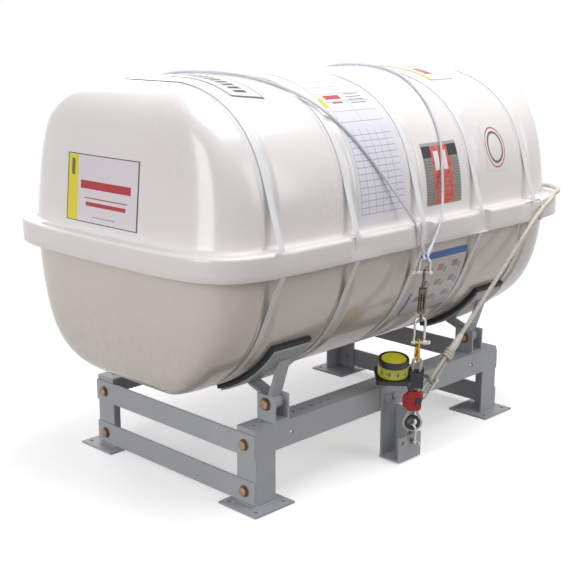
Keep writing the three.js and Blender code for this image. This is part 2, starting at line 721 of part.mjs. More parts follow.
// Skins round sections set at the points of a path, each square to the path there.
function sweep(points, radius, sides = 8, isClosed = false) {
  const count = points.length;
  const at = (i) => points[(i + count) % count];
  let across = null;
  const rings = points.map((point, i) => {
    const before = isClosed || i > 0 ? at(i - 1) : point;
    const after = isClosed || i < count - 1 ? at(i + 1) : point;
    const run = after.clone().sub(before).normalize();
    if (!across) across = new THREE.Vector3(0, 1, 0);
    if (Math.abs(across.dot(run)) > 0.9) across = new THREE.Vector3(1, 0, 0);
    across = across.clone().addScaledVector(run, -across.dot(run)).normalize();
    const third = new THREE.Vector3().crossVectors(run, across);
    return Array.from({ length: sides }, (_, k) => {
      const angle = ((k + 0.5) / sides) * 2 * Math.PI;
      const place = point.clone().addScaledVector(across, radius * Math.cos(angle));
      return place.addScaledVector(third, radius * Math.sin(angle));
    });
  });
  const flat = rings.flat().flatMap((p) => [p.x, p.y, p.z]);
  const faces = [];
  const last = isClosed ? count : count - 1;
  for (let i = 0; i < last; i += 1) {
    for (let k = 0; k < sides; k += 1) {
      const a = i * sides + k;
      const b = i * sides + ((k + 1) % sides);
      const c = ((i + 1) % count) * sides + k;
      const d = ((i + 1) % count) * sides + ((k + 1) % sides);
      faces.push(a, b, d, a, d, c);
    }
  }
  if (!isClosed) {
    for (let k = 1; k < sides - 1; k += 1) {
      faces.push(0, k + 1, k);
      faces.push((count - 1) * sides, (count - 1) * sides + k, (count - 1) * sides + k + 1);
    }
  }
  const geometry = new THREE.BufferGeometry();
  geometry.setAttribute('position', new THREE.Float32BufferAttribute(flat, 3));
  geometry.setIndex(faces);
  return geometry;
}

// A U in the XZ plane: the arc's middle at the origin, the legs down to z = -length.
function uPoints(width, length, arcSteps = 6) {
  const points = [new THREE.Vector3(-width / 2, 0, -length)];
  for (let i = 0; i <= arcSteps; i += 1) {
    const angle = Math.PI - (i / arcSteps) * Math.PI;
    points.push(new THREE.Vector3((width / 2) * Math.cos(angle), 0, (width / 2) * Math.sin(angle)));
  }
  points.push(new THREE.Vector3(width / 2, 0, -length));
  return points;
}

function makeBow(size, thickness = rod) {
  const bow = sweep(uPoints(size.width, size.length), thickness / 2, 6);
  const eyes = [-1, 1].map((side) => {
    const middle = (side * size.width) / 2;
    return bar('x', middle - thickness / 2 - 1, middle + thickness / 2 + 1, thickness * 0.95, [0, -size.length], 8);
  });
  const bore = bar('x', -size.width, size.width, pinDiameter / 2 + looseFit, [0, -size.length], 8);
  return cut(joined(bow, ...eyes), bore);
}

// The pin that closes a shackle, with its flat eyed head on the right.
function makePin(size, thickness = rod) {
  const end = size.width / 2 + thickness / 2 + 1 + gap;
  return joined(
    bar('x', -end - 3, end + 1, pinDiameter / 2, [0, -size.length], 8),
    bar('x', end, end + 4, pinDiameter * 0.8, [0, -size.length], 8),
    box(end + 3, end + 15, -2.5, 2.5, -size.length - 6.5, -size.length + 6.5),
  );
}

function eyeRing(radius, thickness, x, down) {
  const points = Array.from({ length: 10 }, (_, k) => {
    const angle = (k / 10) * 2 * Math.PI;
    return new THREE.Vector3(x, radius * Math.cos(angle), radius * Math.sin(angle) - down);
  });
  return sweep(points, thickness / 2, 6, true);
}

function lowered(geometry, down) {
  return geometry.clone().translate(0, 0, -down);
}

piece('front_shackle_bow', onLine(lowered(makeBow(frontShackle), frontShackle.arc)), materials.steel);
piece('front_shackle_pin', onLine(lowered(makePin(frontShackle), frontShackle.arc).rotateZ(Math.PI)), materials.steel);

const pinSlack = eyeRadius - eyeRod / 2 - pinDiameter / 2 - gap;
const upperEye = frontShackle.arc + frontShackle.length + pinSlack;
const barrelBottom = barrelTop + barrel.length;

function makeScrew(eyeAt, from, to) {
  return joined(eyeRing(eyeRadius, eyeRod, 0, eyeAt), bar('z', -from, -to, screwDiameter / 2, [0, 0], 8));
}

// The open barrel of the turnbuckle: two side bars between two bored ends.
function makeBarrel() {
  const { length, width, thickness, slotWidth, endLength } = barrel;
  const body = new THREE.ExtrudeGeometry(roundedRect(width, thickness, 5), { depth: length, bevelEnabled: false });
  body.translate(0, 0, -barrelBottom);
  const slot = box(-slotWidth / 2, slotWidth / 2, -thickness, thickness, -barrelBottom + endLength, -barrelTop - endLength);
  const bore = bar('z', -barrelTop + 5, -barrelBottom - 5, screwDiameter / 2 + looseFit, [0, 0], 16);
  return cut(body, slot, bore);
}

function roundedRect(width, height, radius) {
  const shape = new THREE.Shape();
  const points = [];
  for (const [sx, sy, start] of [[1, 1, 0], [-1, 1, 90], [-1, -1, 180], [1, -1, 270]]) {
    for (let k = 0; k <= 2; k += 1) {
      const angle = THREE.MathUtils.degToRad(start + k * 45);
      points.push([
        sx * (width / 2 - radius) + radius * Math.cos(angle),
        sy * (height / 2 - radius) + radius * Math.sin(angle),
      ]);
    }
  }
  points.forEach(([x, y], i) => (i ? shape.lineTo(x, y) : shape.moveTo(x, y)));
  return shape;
}

piece('turnbuckle_barrel', onLine(makeBarrel()), materials.darkSteel);
const upperScrew = makeScrew(upperEye, upperEye + eyeRadius - 1, barrelTop + screwInside);
piece('turnbuckle_upper_screw', onLine(upperScrew), materials.darkSteel);
const lowerScrew = makeScrew(lowerEye, barrelBottom - screwInside, lowerEye - eyeRadius + 1);
piece('turnbuckle_lower_screw', onLine(lowerScrew), materials.darkSteel);
piece('long_link_bow', onLine(lowered(makeBow(longLink), longLink.arc)), materials.steel);
piece('long_link_pin', onLine(lowered(makePin(longLink), longLink.arc)), materials.steel);

// Slip hook: an eye round the long link's pin, and a bend that the rope loop hangs in.
const hookEye = longLink.arc + longLink.length + hookEyeRadius - rod / 2 - pinDiameter / 2 - gap;

function makeHook() {
  const bend = [[0, hookEye + hookEyeRadius - 1], [0, 282], [6, 290], [11, 298], [12, 306], [9, 314], [3, 318.5], [-3, 318.5], [-9, 314], [-12, 306], [-11.5, 297], [-8.5, 290]];
  const points = bend.map(([y, down]) => new THREE.Vector3(0, y, -down));
  return joined(eyeRing(hookEyeRadius, rod, 0, hookEye), sweep(points, rod / 2));
}

piece('slip_hook', onLine(makeHook()), materials.brass);

// Endless rope loop through the release, round the hook above and the thimble below
const loopTop = hookCrown - rod / 2 - gap - loopRope / 2 + 0.2;
const loopBottomRadius = thimble.outer + gap + loopRope / 2;

function makeLoop() {
  const points = [];
  const arc = (middle, radius, from, to, steps) => {
    for (let i = 0; i <= steps; i += 1) {
      const angle = THREE.MathUtils.degToRad(from + ((to - from) * i) / steps);
      points.push(new THREE.Vector3(radius * Math.cos(angle), 0, radius * Math.sin(angle) - middle));
    }
  };
  arc(loopTop + loopHalfWidth, loopHalfWidth, 0, 180, 6);
  points.push(new THREE.Vector3(-loopHalfWidth, 0, -weakLink.bottom - 2));
  arc(thimble.middle, loopBottomRadius, 168, 372, 10);
  points.push(new THREE.Vector3(loopHalfWidth, 0, -weakLink.bottom - 2));
  return sweep(points, loopRope / 2, 8, true);
}

function strandBores(from, to) {
  return [-1, 1].map((side) => bar('z', -from + 5, -to - 5, loopRope / 2 + gap, [side * loopHalfWidth, 0], 10));
}

// Release unit: a square base carrying the drum, and a ribbed block gripping the rope
function makeReleaseBase() {
  const { top, bottom, halfWidth, halfDepth } = releaseBlock;
  const block = box(-halfWidth, halfWidth, -halfDepth, halfDepth, -bottom, -top);
  const depth = 2 * releaseBase.halfDepth;
  const right = drum.middle + drum.radius + 4;
  const outline = roundedRect(right - releaseBase.left, depth, 12);
  const plate = new THREE.ExtrudeGeometry(outline, { depth: releaseBase.bottom - releaseBase.top, bevelEnabled: false });
  plate.translate((right + releaseBase.left) / 2, 0, -releaseBase.bottom);
  const arm = box(right - 20, -halfWidth + 5, -halfDepth, halfDepth, -releaseBase.bottom - 8, -releaseBase.top);
  const nub = box(-halfWidth, -2, -6, 6, -bottom - 9, -bottom + 2);
  const pitch = (bottom - top) / (ribs * 2 + 1);
  const grooves = [];
  for (let k = 0; k < ribs; k += 1) {
    const upper = -top - pitch * (2 * k + 1);
    grooves.push(box(halfWidth - 5, halfWidth + 5, -halfDepth - 5, halfDepth + 5, upper - pitch, upper));
    grooves.push(box(-halfWidth - 5, halfWidth + 5, -halfDepth - 5, -halfDepth + 2.5, upper - pitch, upper));
  }
  const notch = box(-halfWidth + 9, halfWidth - 9, -halfDepth - 5, halfDepth + 5, -top - 7, -top + 5);
  return cut(joined(block, plate, arm, nub), ...grooves, notch, ...strandBores(top, bottom + 9));
}

function makeDrum() {
  const { radius, top, ringHeight, discInset } = drum;
  const bottom = releaseBase.top - gap;
  const profile = [
    [0, -bottom], [radius - 3, -bottom], [radius, -bottom + 3], [radius, -top - ringHeight - 1],
    [radius - 1.5, -top - ringHeight], [radius - 1.5, -top - 2], [radius - 3.5, -top], [radius - discInset, -top],
    [radius - discInset, -top - 4], [radius - discInset - 3, -top - 1], [0, -top - 1],
  ].map(([r, z]) => new THREE.Vector2(r, z));
  const body = new THREE.LatheGeometry(profile, 18).rotateX(Math.PI / 2);
  return body.translate(drum.middle, 0, 0);
}

// The way the painter leaves the weak link, and the turn of the link's ear towards it
const earMiddle = placeOnLine(0, 0, weakHole.down);
const earTurn = Math.atan2(
  painterEnd.clone().sub(earMiddle).dot(lineAway),
  painterEnd.clone().sub(earMiddle).dot(lineRight),
);
const earPlace = placeOnLine(weakHole.out * Math.cos(earTurn), weakHole.out * Math.sin(earTurn), weakHole.down);

// Weak link: a moulded block on the rope loop, with a thin breakable ear for the painter
function makeWeakLink() {
  const { top, bottom, left, right, thickness, earThickness } = weakLink;
  const height = bottom - top;
  const middle = -(top + bottom) / 2;
  const slab = (x0, x1, tall, depth, radius) => {
    const shape = new THREE.ExtrudeGeometry(roundedRect(x1 - x0, tall, radius), { depth, bevelEnabled: false });
    return shape.rotateX(Math.PI / 2).translate((x0 + x1) / 2, depth / 2, middle);
  };
  const grip = slab(-loopHalfWidth - 11, loopHalfWidth + 11, height, thickness, 9);
  const side = slab(left, 10, height * 0.8, earThickness, 20);
  const ear = slab(-4, right, height * 0.76, earThickness, 20).rotateZ(earTurn);
  const hole = bar('y', -thickness * 2, thickness * 2, weakHole.radius, [weakHole.out, -weakHole.down], 14).rotateZ(earTurn);
  const relief = box(weakHole.out - 13, right + 5, -thickness * 2, -earThickness / 2, -bottom - 5, -top + 5);
  const reliefs = [relief, relief.clone().scale(1, -1, 1)].map((cutter) => cutter.rotateZ(earTurn));
  return cut(joined(grip, side, ear), ...reliefs, hole, ...strandBores(top, bottom));
}

function makeThimble() {
  const { inner, outer, width } = thimble;
  const profile = [[inner, -width / 2 + 2], [inner + 2, -width / 2], [outer, -width / 2], [outer, width / 2], [inner + 2, width / 2], [inner, width / 2 - 2], [inner, -width / 2 + 2]];
  return new THREE.LatheGeometry(profile.map(([r, h]) => new THREE.Vector2(r, h)), 16).translate(0, 0, -thimble.middle);
}

piece('rope_loop', onLine(makeLoop()), materials.rope);
piece('release_base', onLine(makeReleaseBase()), materials.blackPlastic);
piece('release_drum', onLine(makeDrum()), materials.yellowPlastic);
piece('weak_link', onLine(makeWeakLink()), materials.redPlastic);
piece('loop_thimble', onLine(makeThimble()), materials.blackPlastic);

// Lower shackle: its pin runs through the bracket's lip, its bow through the thimble
const lowerBowTop = placeOnLine(0, 0, thimble.middle + thimble.inner - rod / 2 - lowerShackle.slack);
const lipPlace = new THREE.Vector3(lineBottom.x, lineBottom.y, lipHoleZ);
const lowerUp = new THREE.Vector3(0, lowerBowTop.y - lipPlace.y, lowerBowTop.z - lipPlace.z).setX(lowerBowTop.x - lipPlace.x).normalize();
const lowerRight = new THREE.Vector3(0, -1, 0).addScaledVector(lowerUp, lowerUp.y).normalize();
const lowerLength = lowerBowTop.distanceTo(lipPlace) - lowerShackle.width / 2;
const lowerSize = { width: lowerShackle.width, length: lowerLength };
const lowerFrame = frameOf(lowerRight, lowerUp, lipPlace.clone().addScaledVector(lowerUp, lowerLength));
piece('lower_shackle_bow', makeBow(lowerSize).applyMatrix4(lowerFrame), materials.steel);
piece('lower_shackle_pin', makePin(lowerSize).applyMatrix4(lowerFrame), materials.steel);

// Painter shackle, its eye splice and the painter itself
const painterAim = painterEnd.clone().sub(earPlace).normalize();
const painterRight = new THREE.Vector3().crossVectors(lineUp, painterAim).normalize();
const painterFrame = frameOf(painterRight, painterAim.clone().negate(), earPlace);

function onPainter(geometry) {
  return geometry.clone().applyMatrix4(painterFrame);
}

const painterPinAt = painterShackle.arc + painterShackle.length;
piece('painter_shackle_bow', onPainter(lowered(makeBow(painterShackle, painterShackle.rod), painterShackle.arc)), materials.steel);
piece('painter_shackle_pin', onPainter(lowered(makePin(painterShackle, painterShackle.rod), painterShackle.arc)), materials.steel);

function makePainterEye() {
  const bight = pinDiameter / 2 + painterDiameter / 2 + gap;
  const points = [];
  points.push(new THREE.Vector3(0, painterDiameter / 2, -painterKnot.from - 8));
  points.push(new THREE.Vector3(0, bight, -painterPinAt - 22));
  for (let i = 0; i <= 10; i += 1) {
    const angle = (i / 10) * Math.PI;
    points.push(new THREE.Vector3(0, bight * Math.cos(angle), bight * Math.sin(angle) - painterPinAt));
  }
  points.push(new THREE.Vector3(0, -bight, -painterPinAt - 22));
  points.push(new THREE.Vector3(0, -painterDiameter / 2, -painterKnot.from - 8));
  const { from, to, radius } = painterKnot;
  const profile = [[0, -to], [radius * 0.7, -to], [radius, -(from + to) / 2], [radius * 0.7, -from], [0, -from]];
  const knot = new THREE.LatheGeometry(profile.map(([r, z]) => new THREE.Vector2(r, z)), 10).rotateX(Math.PI / 2);
  const sleeve = bar('z', -to + 4, -painterSleeve.to, painterSleeve.radius, [0, 0], 12);
  return joined(sweep(points, painterDiameter / 2 - 1, 8), knot, sleeve);
}

piece('painter_eye', onPainter(makePainterEye()), materials.rope);

function makePainter() {
  const start = new THREE.Vector3(0, 0, -painterSleeve.to - gap).applyMatrix4(painterFrame);
  const span = painterEnd.clone().sub(start);
  const run = [0, 0.25, 0.5, 0.75].map((t) => start.clone().addScaledVector(span, t));
  const lead = painterRoute.map((p) => new THREE.Vector3(...p));
  const [portY, portZ] = portPlace;
  const tail = [[790, portY, portZ], [bodyHalfLength - wall + 1, portY, portZ]].map((p) => new THREE.Vector3(...p));
  const curve = new THREE.CatmullRomCurve3([...run, ...lead, ...tail], false, 'centripetal');
  return sweep(curve.getPoints(painterSteps), painterDiameter / 2, 8);
}

piece('painter_port', makePort(), materials.blackPlastic);
piece('painter_rope', makePainter(), materials.rope);

// Lashing wires: laid tight over the canister's cross-section, and led across as they go
const wireEye = { radius: 10.5, thickness: 6, apart: 6.2 };
const bowCrown = placeOnLine(0, 0, frontShackle.arc - frontShackle.width / 2);
const frontEyeZ = bowCrown.z + wireEye.radius - wireEye.thickness / 2 - rod / 2 - 4;
const backEyeZ = anchor.holeZ + anchor.holeRadius + wireEye.radius - wireEye.thickness / 2 - 0.8;
const backEyeY = cradleWidth / 2 + anchor.reach;

// The two wires' eyes sit side by side on the front shackle's bow.
function wireStart(wire) {
  return [bowCrown.x + wire.side * wireEye.apart * lineRight.x, bowCrown.y + wire.side * wireEye.apart * lineRight.y];
}

function wireSection() {
  const points = [...crossing(upperForm, 0), ...crossing(lowerForm, 0)];
  for (const z of [beltTop, beltBottom]) points.push([-beltOuterY, z], [beltOuterY, z]);
  return wrapped(points, wireHeight, wireRun);
}

function wirePoints(wire) {
  const turn = ([y, z]) => Math.atan2(z - railTop, y);
  const lowest = ([y]) => (y < 0 ? beltTop - wireHeight : beltBottom - 2 * wireHeight);
  const over = wireSection().filter((p) => p[1] > lowest(p)).sort((a, b) => turn(b) - turn(a));
  const [, startY] = wireStart(wire);
  const section = [[startY, frontEyeZ + wireEye.radius], ...over, [backEyeY, backEyeZ + wireEye.radius]];
  const laid = [0];
  for (let i = 1; i < section.length; i += 1) {
    laid.push(laid[i - 1] + Math.hypot(section[i][0] - section[i - 1][0], section[i][1] - section[i - 1][1]));
  }
  const total = laid.at(-1);
  const places = [[0, wireStart(wire)[0]], ...wire.places, [total, wire.anchorX]];
  const across = (length) => {
    const i = Math.max(1, places.findIndex(([to]) => to >= length - 1e-6));
    const [from, x0] = places[i - 1];
    const [to, x1] = places[i];
    return x0 + ((x1 - x0) * (length - from)) / (to - from);
  };
  return section.map(([y, z], i) => new THREE.Vector3(across(laid[i]), y, z));
}

function makeWire(wire) {
  const points = wirePoints(wire);
  const ring = (x, y, z, turned) => eyeRing(wireEye.radius, wireEye.thickness, 0, 0).rotateZ(turned).translate(x, y, z);
  const first = points[0].clone().lerp(points[1], ferrule.length / points[0].distanceTo(points[1]));
  const last = points.at(-1).clone().lerp(points.at(-2), ferrule.length / points.at(-1).distanceTo(points.at(-2)));
  return joined(
    sweep(points, wireDiameter / 2, 6),
    sweep([points[0], first], ferrule.diameter / 2, 8),
    sweep([points.at(-1), last], ferrule.diameter / 2, 8),
    ring(points[0].x, points[0].y, frontEyeZ, facing),
    ring(wire.anchorX, backEyeY, backEyeZ, Math.PI / 2),
  );
}

// Eye plate for a wire, welded to a pad that is bolted behind the back rail
function makeAnchor(x) {
  const face = cradleWidth / 2 + gap;
  const low = anchor.holeZ - anchor.height / 2;
  const pad = box(x - anchor.width / 2, x + anchor.width / 2, face, face + steel, low, low + anchor.height);
  const lugTop = anchor.holeZ + anchor.holeRadius + 5;
  const outline = [[face + 1, low], [backEyeY + 14, anchor.holeZ - 13], [backEyeY + 14, lugTop - 5], [backEyeY + 9, lugTop], [face + 1, lugTop]];
  const lug = alongX(outline, x - anchor.lug / 2, x + anchor.lug / 2);
  const hole = bar('x', x - 10, x + 10, anchor.holeRadius, [backEyeY, anchor.holeZ], 16);
  return cut(joined(pad, lug), hole);
}

piece('lashing_wire_left', makeWire(leftWire), materials.wire);
piece('lashing_wire_right', makeWire(rightWire), materials.wire);
piece('back_left_anchor', makeAnchor(leftWire.anchorX), materials.cradle);
piece('back_right_anchor', makeAnchor(rightWire.anchorX), materials.cradle);

export default part;
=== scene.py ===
# Life raft canister on its deck cradle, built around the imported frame.
# Everything is modelled in millimetres and scaled to metres when a piece is finished.
from math import acos, atan2, cos, dist, pi, radians, sin, sqrt

import bmesh
import bpy
import numpy as np
from mathutils import Matrix, Vector


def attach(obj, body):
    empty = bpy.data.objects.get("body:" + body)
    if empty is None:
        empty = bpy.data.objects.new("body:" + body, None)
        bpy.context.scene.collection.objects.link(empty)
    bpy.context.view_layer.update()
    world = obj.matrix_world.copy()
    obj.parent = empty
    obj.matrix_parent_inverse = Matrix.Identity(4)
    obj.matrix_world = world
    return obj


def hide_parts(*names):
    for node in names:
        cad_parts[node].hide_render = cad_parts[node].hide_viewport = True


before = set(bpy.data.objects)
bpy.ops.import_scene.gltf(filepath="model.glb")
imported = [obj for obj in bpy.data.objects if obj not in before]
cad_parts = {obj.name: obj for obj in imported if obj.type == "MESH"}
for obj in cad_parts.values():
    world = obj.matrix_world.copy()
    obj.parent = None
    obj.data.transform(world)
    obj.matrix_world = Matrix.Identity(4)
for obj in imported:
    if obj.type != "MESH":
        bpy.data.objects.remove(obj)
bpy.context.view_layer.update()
mainBody = "container_and_cradle"
barrelBody = "turnbuckle_barrel"
toMetres = Matrix.Scale(0.001, 4)
bpy.ops.object.select_all(action="DESELECT")
print("frame loaded")

# Camera, at the photograph's viewing angle
view = {"place": (-2.54465, -2.42778, 1.3345), "aim": (0.6917, 0.6818, -0.2380), "lens": 69.65, "sensor": 36}
bpy.ops.object.camera_add(location=view["place"])
camera = bpy.context.object
camera.rotation_euler = Vector(view["aim"]).to_track_quat("-Z", "Y").to_euler()
camera.data.lens = view["lens"]
camera.data.sensor_width = view["sensor"]
camera.data.clip_start = 0.05
bpy.context.scene.camera = camera


# Modelling tools
def deselectAll():
    bpy.ops.object.select_all(action="DESELECT")


def useOnly(piece):
    deselectAll()
    piece.select_set(True)
    bpy.context.view_layer.objects.active = piece


def inEdit(piece, work):
    useOnly(piece)
    bpy.ops.object.mode_set(mode="EDIT")
    work()
    bpy.ops.object.mode_set(mode="OBJECT")


def turnFacesOut():
    bpy.ops.mesh.select_mode(type="VERT")
    bpy.ops.mesh.select_all(action="SELECT")
    bpy.ops.mesh.normals_make_consistent(inside=False)


def selectRims():
    bpy.ops.mesh.select_mode(type="EDGE")
    bpy.ops.mesh.select_all(action="DESELECT")
    bpy.ops.mesh.select_non_manifold(extend=False)


def fromCircle(spots):
    bpy.ops.mesh.primitive_circle_add(vertices=len(spots), radius=10)
    piece = bpy.context.object
    for vertex, spot in zip(piece.data.vertices, spots):
        vertex.co = spot
    return piece


def newGrid(columnCount, rowCount):
    bpy.ops.mesh.primitive_grid_add(x_subdivisions=columnCount, y_subdivisions=rowCount, size=2)
    return bpy.context.object


def shift(x, y, z):
    return Matrix.Translation((x, y, z))


def applied(piece, kind, **settings):
    useOnly(piece)
    modifier = piece.modifiers.new(kind.title(), kind)
    for key, value in settings.items():
        setattr(modifier, key, value)
    bpy.ops.object.modifier_apply(modifier=modifier.name)
    return piece


def rounded(piece, width, segments=2, angle=35):
    return applied(piece, "BEVEL", width=width, segments=segments, limit_method="ANGLE",
                   angle_limit=radians(angle), use_clamp_overlap=True)


def placed(piece, matrix):
    piece.data.transform(matrix)
    if matrix.to_3x3().determinant() < 0:
        piece.data.flip_normals()
    return piece


def outlineSolid(outline, depth, matrix):
    piece = fromCircle([(u, v, 0) for u, v in outline])

    def extrude():
        bpy.ops.mesh.select_all(action="SELECT")
        bpy.ops.mesh.edge_face_add()
        bpy.ops.mesh.extrude_region_move(TRANSFORM_OT_translate={"value": (0, 0, depth)})
        turnFacesOut()

    inEdit(piece, extrude)
    return placed(piece, matrix)


def alongX(x):
    return Matrix(((0, 0, 1, x), (1, 0, 0, 0), (0, 1, 0, 0), (0, 0, 0, 1)))


def alongY(y):
    return Matrix(((1, 0, 0, 0), (0, 0, -1, y), (0, 1, 0, 0), (0, 0, 0, 1)))


def box(low, high):
    bpy.ops.mesh.primitive_cube_add(size=1)
    piece = bpy.context.object
    size = [b - a for a, b in zip(low, high)]
    middle = [(a + b) / 2 for a, b in zip(low, high)]
    return placed(piece, Matrix.Translation(middle) @ Matrix.Diagonal((*size, 1)))


def turnedOnto(axis):
    return Vector((0, 0, 1)).rotation_difference(Vector(axis)).to_matrix().to_4x4()


def rod(start, end, radius, sides=32):
    start, end = Vector(start), Vector(end)
    run = end - start
    bpy.ops.mesh.primitive_cylinder_add(vertices=sides, radius=radius, depth=run.length)
    piece = bpy.context.object
    return placed(piece, Matrix.Translation((start + end) / 2) @ turnedOnto(run))


def lathe(profile, matrix=Matrix(), steps=40):
    piece = fromCircle([(r, 0, z) for r, z in profile])

    def turn():
        bpy.ops.mesh.select_all(action="SELECT")
        bpy.ops.mesh.spin(steps=steps, angle=2 * pi, center=(0, 0, 0), axis=(0, 0, 1))
        bpy.ops.mesh.select_all(action="SELECT")
        bpy.ops.mesh.remove_doubles(threshold=0.002)
        turnFacesOut()

    inEdit(piece, turn)
    return placed(piece, matrix)


def joined(*parts):
    useOnly(parts[0])
    for part in parts[1:]:
        part.select_set(True)
    bpy.ops.object.join()
    return bpy.context.object


def combined(piece, tool, operation):
    applied(piece, "BOOLEAN", object=tool, operation=operation, solver="EXACT")
    bpy.data.objects.remove(tool)
    return piece


def bored(piece, *tools):
    return combined(piece, joined(*tools), "DIFFERENCE")


def copied(piece, matrix):
    twin = piece.copy()
    twin.data = piece.data.copy()
    bpy.context.collection.objects.link(twin)
    return placed(twin, matrix)


def smoothPath(points, step, closed=False):
    points = [Vector(p) for p in points]
    count = len(points)
    spans = count if closed else count - 1
    result = []
    for i in range(spans):
        if closed:
            a, b, c, d = (points[(i + k) % count] for k in (-1, 0, 1, 2))
        else:
            b, c = points[i], points[i + 1]
            a = points[i - 1] if i else b + (b - c)
            d = points[i + 2] if i + 2 < count else c + (c - b)
        t0, t1 = 0.0, max((b - a).length, 1e-6) ** 0.5
        t2 = t1 + max((c - b).length, 1e-6) ** 0.5
        t3 = t2 + max((d - c).length, 1e-6) ** 0.5
        pieces = max(1, round((c - b).length / step))
        for k in range(pieces):
            t = t1 + (t2 - t1) * k / pieces
            a1 = a.lerp(b, (t - t0) / (t1 - t0))
            a2 = b.lerp(c, (t - t1) / (t2 - t1))
            a3 = c.lerp(d, (t - t2) / (t3 - t2))
            b1 = a1.lerp(a2, (t - t0) / (t2 - t0))
            b2 = a2.lerp(a3, (t - t1) / (t3 - t1))
            result.append(b1.lerp(b2, (t - t1) / (t2 - t1)))
    if not closed:
        result.append(points[-1])
    return result


def tubeAlong(path, radius, sides=20, closed=False, relief=None):
    # A grid rolled round the path; relief(turn, length) scales the radius.
    path = [Vector(p) for p in path]
    count = len(path)
    rings = count + 1 if closed else count
    piece = newGrid(rings - 1, sides)
    across = Vector((0, 0, 1))
    frames, laid = [], [0.0]
    for i in range(count):
        before = path[i - 1] if closed or i else path[i]
        after = path[(i + 1) % count] if closed or i < count - 1 else path[i]
        run = (after - before).normalized()
        if i == 0 and abs(across.dot(run)) > 0.9:
            across = Vector((1, 0, 0))
        across = (across - run * across.dot(run)).normalized()
        frames.append((path[i], across.copy(), run.cross(across)))
        laid.append(laid[-1] + (path[(i + 1) % count] - path[i]).length)
    if closed:
        frames.append(frames[0])
    for index, vertex in enumerate(piece.data.vertices):
        i, k = index % rings, index // rings
        middle, first, second = frames[i]
        turn = 2 * pi * k / sides
        length = laid[i] if i < rings - 1 or not closed else laid[count]
        size = radius(length) if callable(radius) else radius
        if relief:
            size *= relief(turn, length)
        vertex.co = middle + first * size * cos(turn) + second * size * sin(turn)
    layer = piece.data.uv_layers[0].data
    for loop in piece.data.loops:
        i, k = loop.vertex_index % rings, loop.vertex_index // rings
        layer[loop.index].uv = (laid[min(i, count)] / 1000, k / sides)

    def close():
        bpy.ops.mesh.select_all(action="SELECT")
        bpy.ops.mesh.remove_doubles(threshold=0.001)
        if not closed:
            selectRims()
            bpy.ops.mesh.edge_face_add()
        turnFacesOut()

    inEdit(piece, close)
    return piece


def ring(radius, thickness, matrix, steps=36, sides=16):
    path = [(0, radius * cos(a), radius * sin(a)) for a in np.linspace(0, 2 * pi, steps, False)]
    return placed(tubeAlong(path, thickness / 2, sides, closed=True), matrix)


def roundedRect(width, height, radius, steps=6):
    points = []
    for sx, sy, start in ((1, 1, 0), (-1, 1, 90), (-1, -1, 180), (1, -1, 270)):
        for k in range(steps + 1):
            angle = radians(start + 90 * k / steps)
            points.append((sx * (width / 2 - radius) + radius * cos(angle),
                           sy * (height / 2 - radius) + radius * sin(angle)))
    return points


def finished(piece, name, material, body=mainBody, replaced=(), smooth=35):
    piece.name = name
    piece.data.name = name
    placed(piece, toMetres)
    piece.data.materials.clear()
    piece.data.materials.append(material)
    useOnly(piece)
    if smooth:
        bpy.ops.object.shade_smooth_by_angle(angle=radians(smooth))
    else:
        bpy.ops.object.shade_smooth()
    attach(piece, body)
    if replaced:
        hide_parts(*replaced)
    return piece


# Shader tools
class Signal:
    def __init__(self, paint, socket):
        self.paint = paint
        self.socket = socket

    def maths(self, operation, first, second=0.0):
        return self.paint.node("ShaderNodeMath", {"operation": operation}, {0: first, 1: second})

    def __add__(self, other):
        return self.maths("ADD", self, other)

    def __radd__(self, other):
        return self.maths("ADD", other, self)

    def __sub__(self, other):
        return self.maths("SUBTRACT", self, other)

    def __rsub__(self, other):
        return self.maths("SUBTRACT", other, self)

    def __mul__(self, other):
        return self.maths("MULTIPLY", self, other)

    def __rmul__(self, other):
        return self.maths("MULTIPLY", other, self)

    def __truediv__(self, other):
        return self.maths("DIVIDE", self, other)

    def __mod__(self, other):
        return self.maths("FLOORED_MODULO", self, other)

    def __gt__(self, other):
        return self.maths("GREATER_THAN", self, other)

    def __lt__(self, other):
        return self.maths("LESS_THAN", self, other)

    def __abs__(self):
        return self.maths("ABSOLUTE", self)

    def __or__(self, other):
        return self.maths("MAXIMUM", self, other)


def colour(text):
    parts = [int(text[i:i + 2], 16) / 255 for i in (0, 2, 4)]
    return (*[c / 12.92 if c <= 0.04045 else ((c + 0.055) / 1.055) ** 2.4 for c in parts], 1)


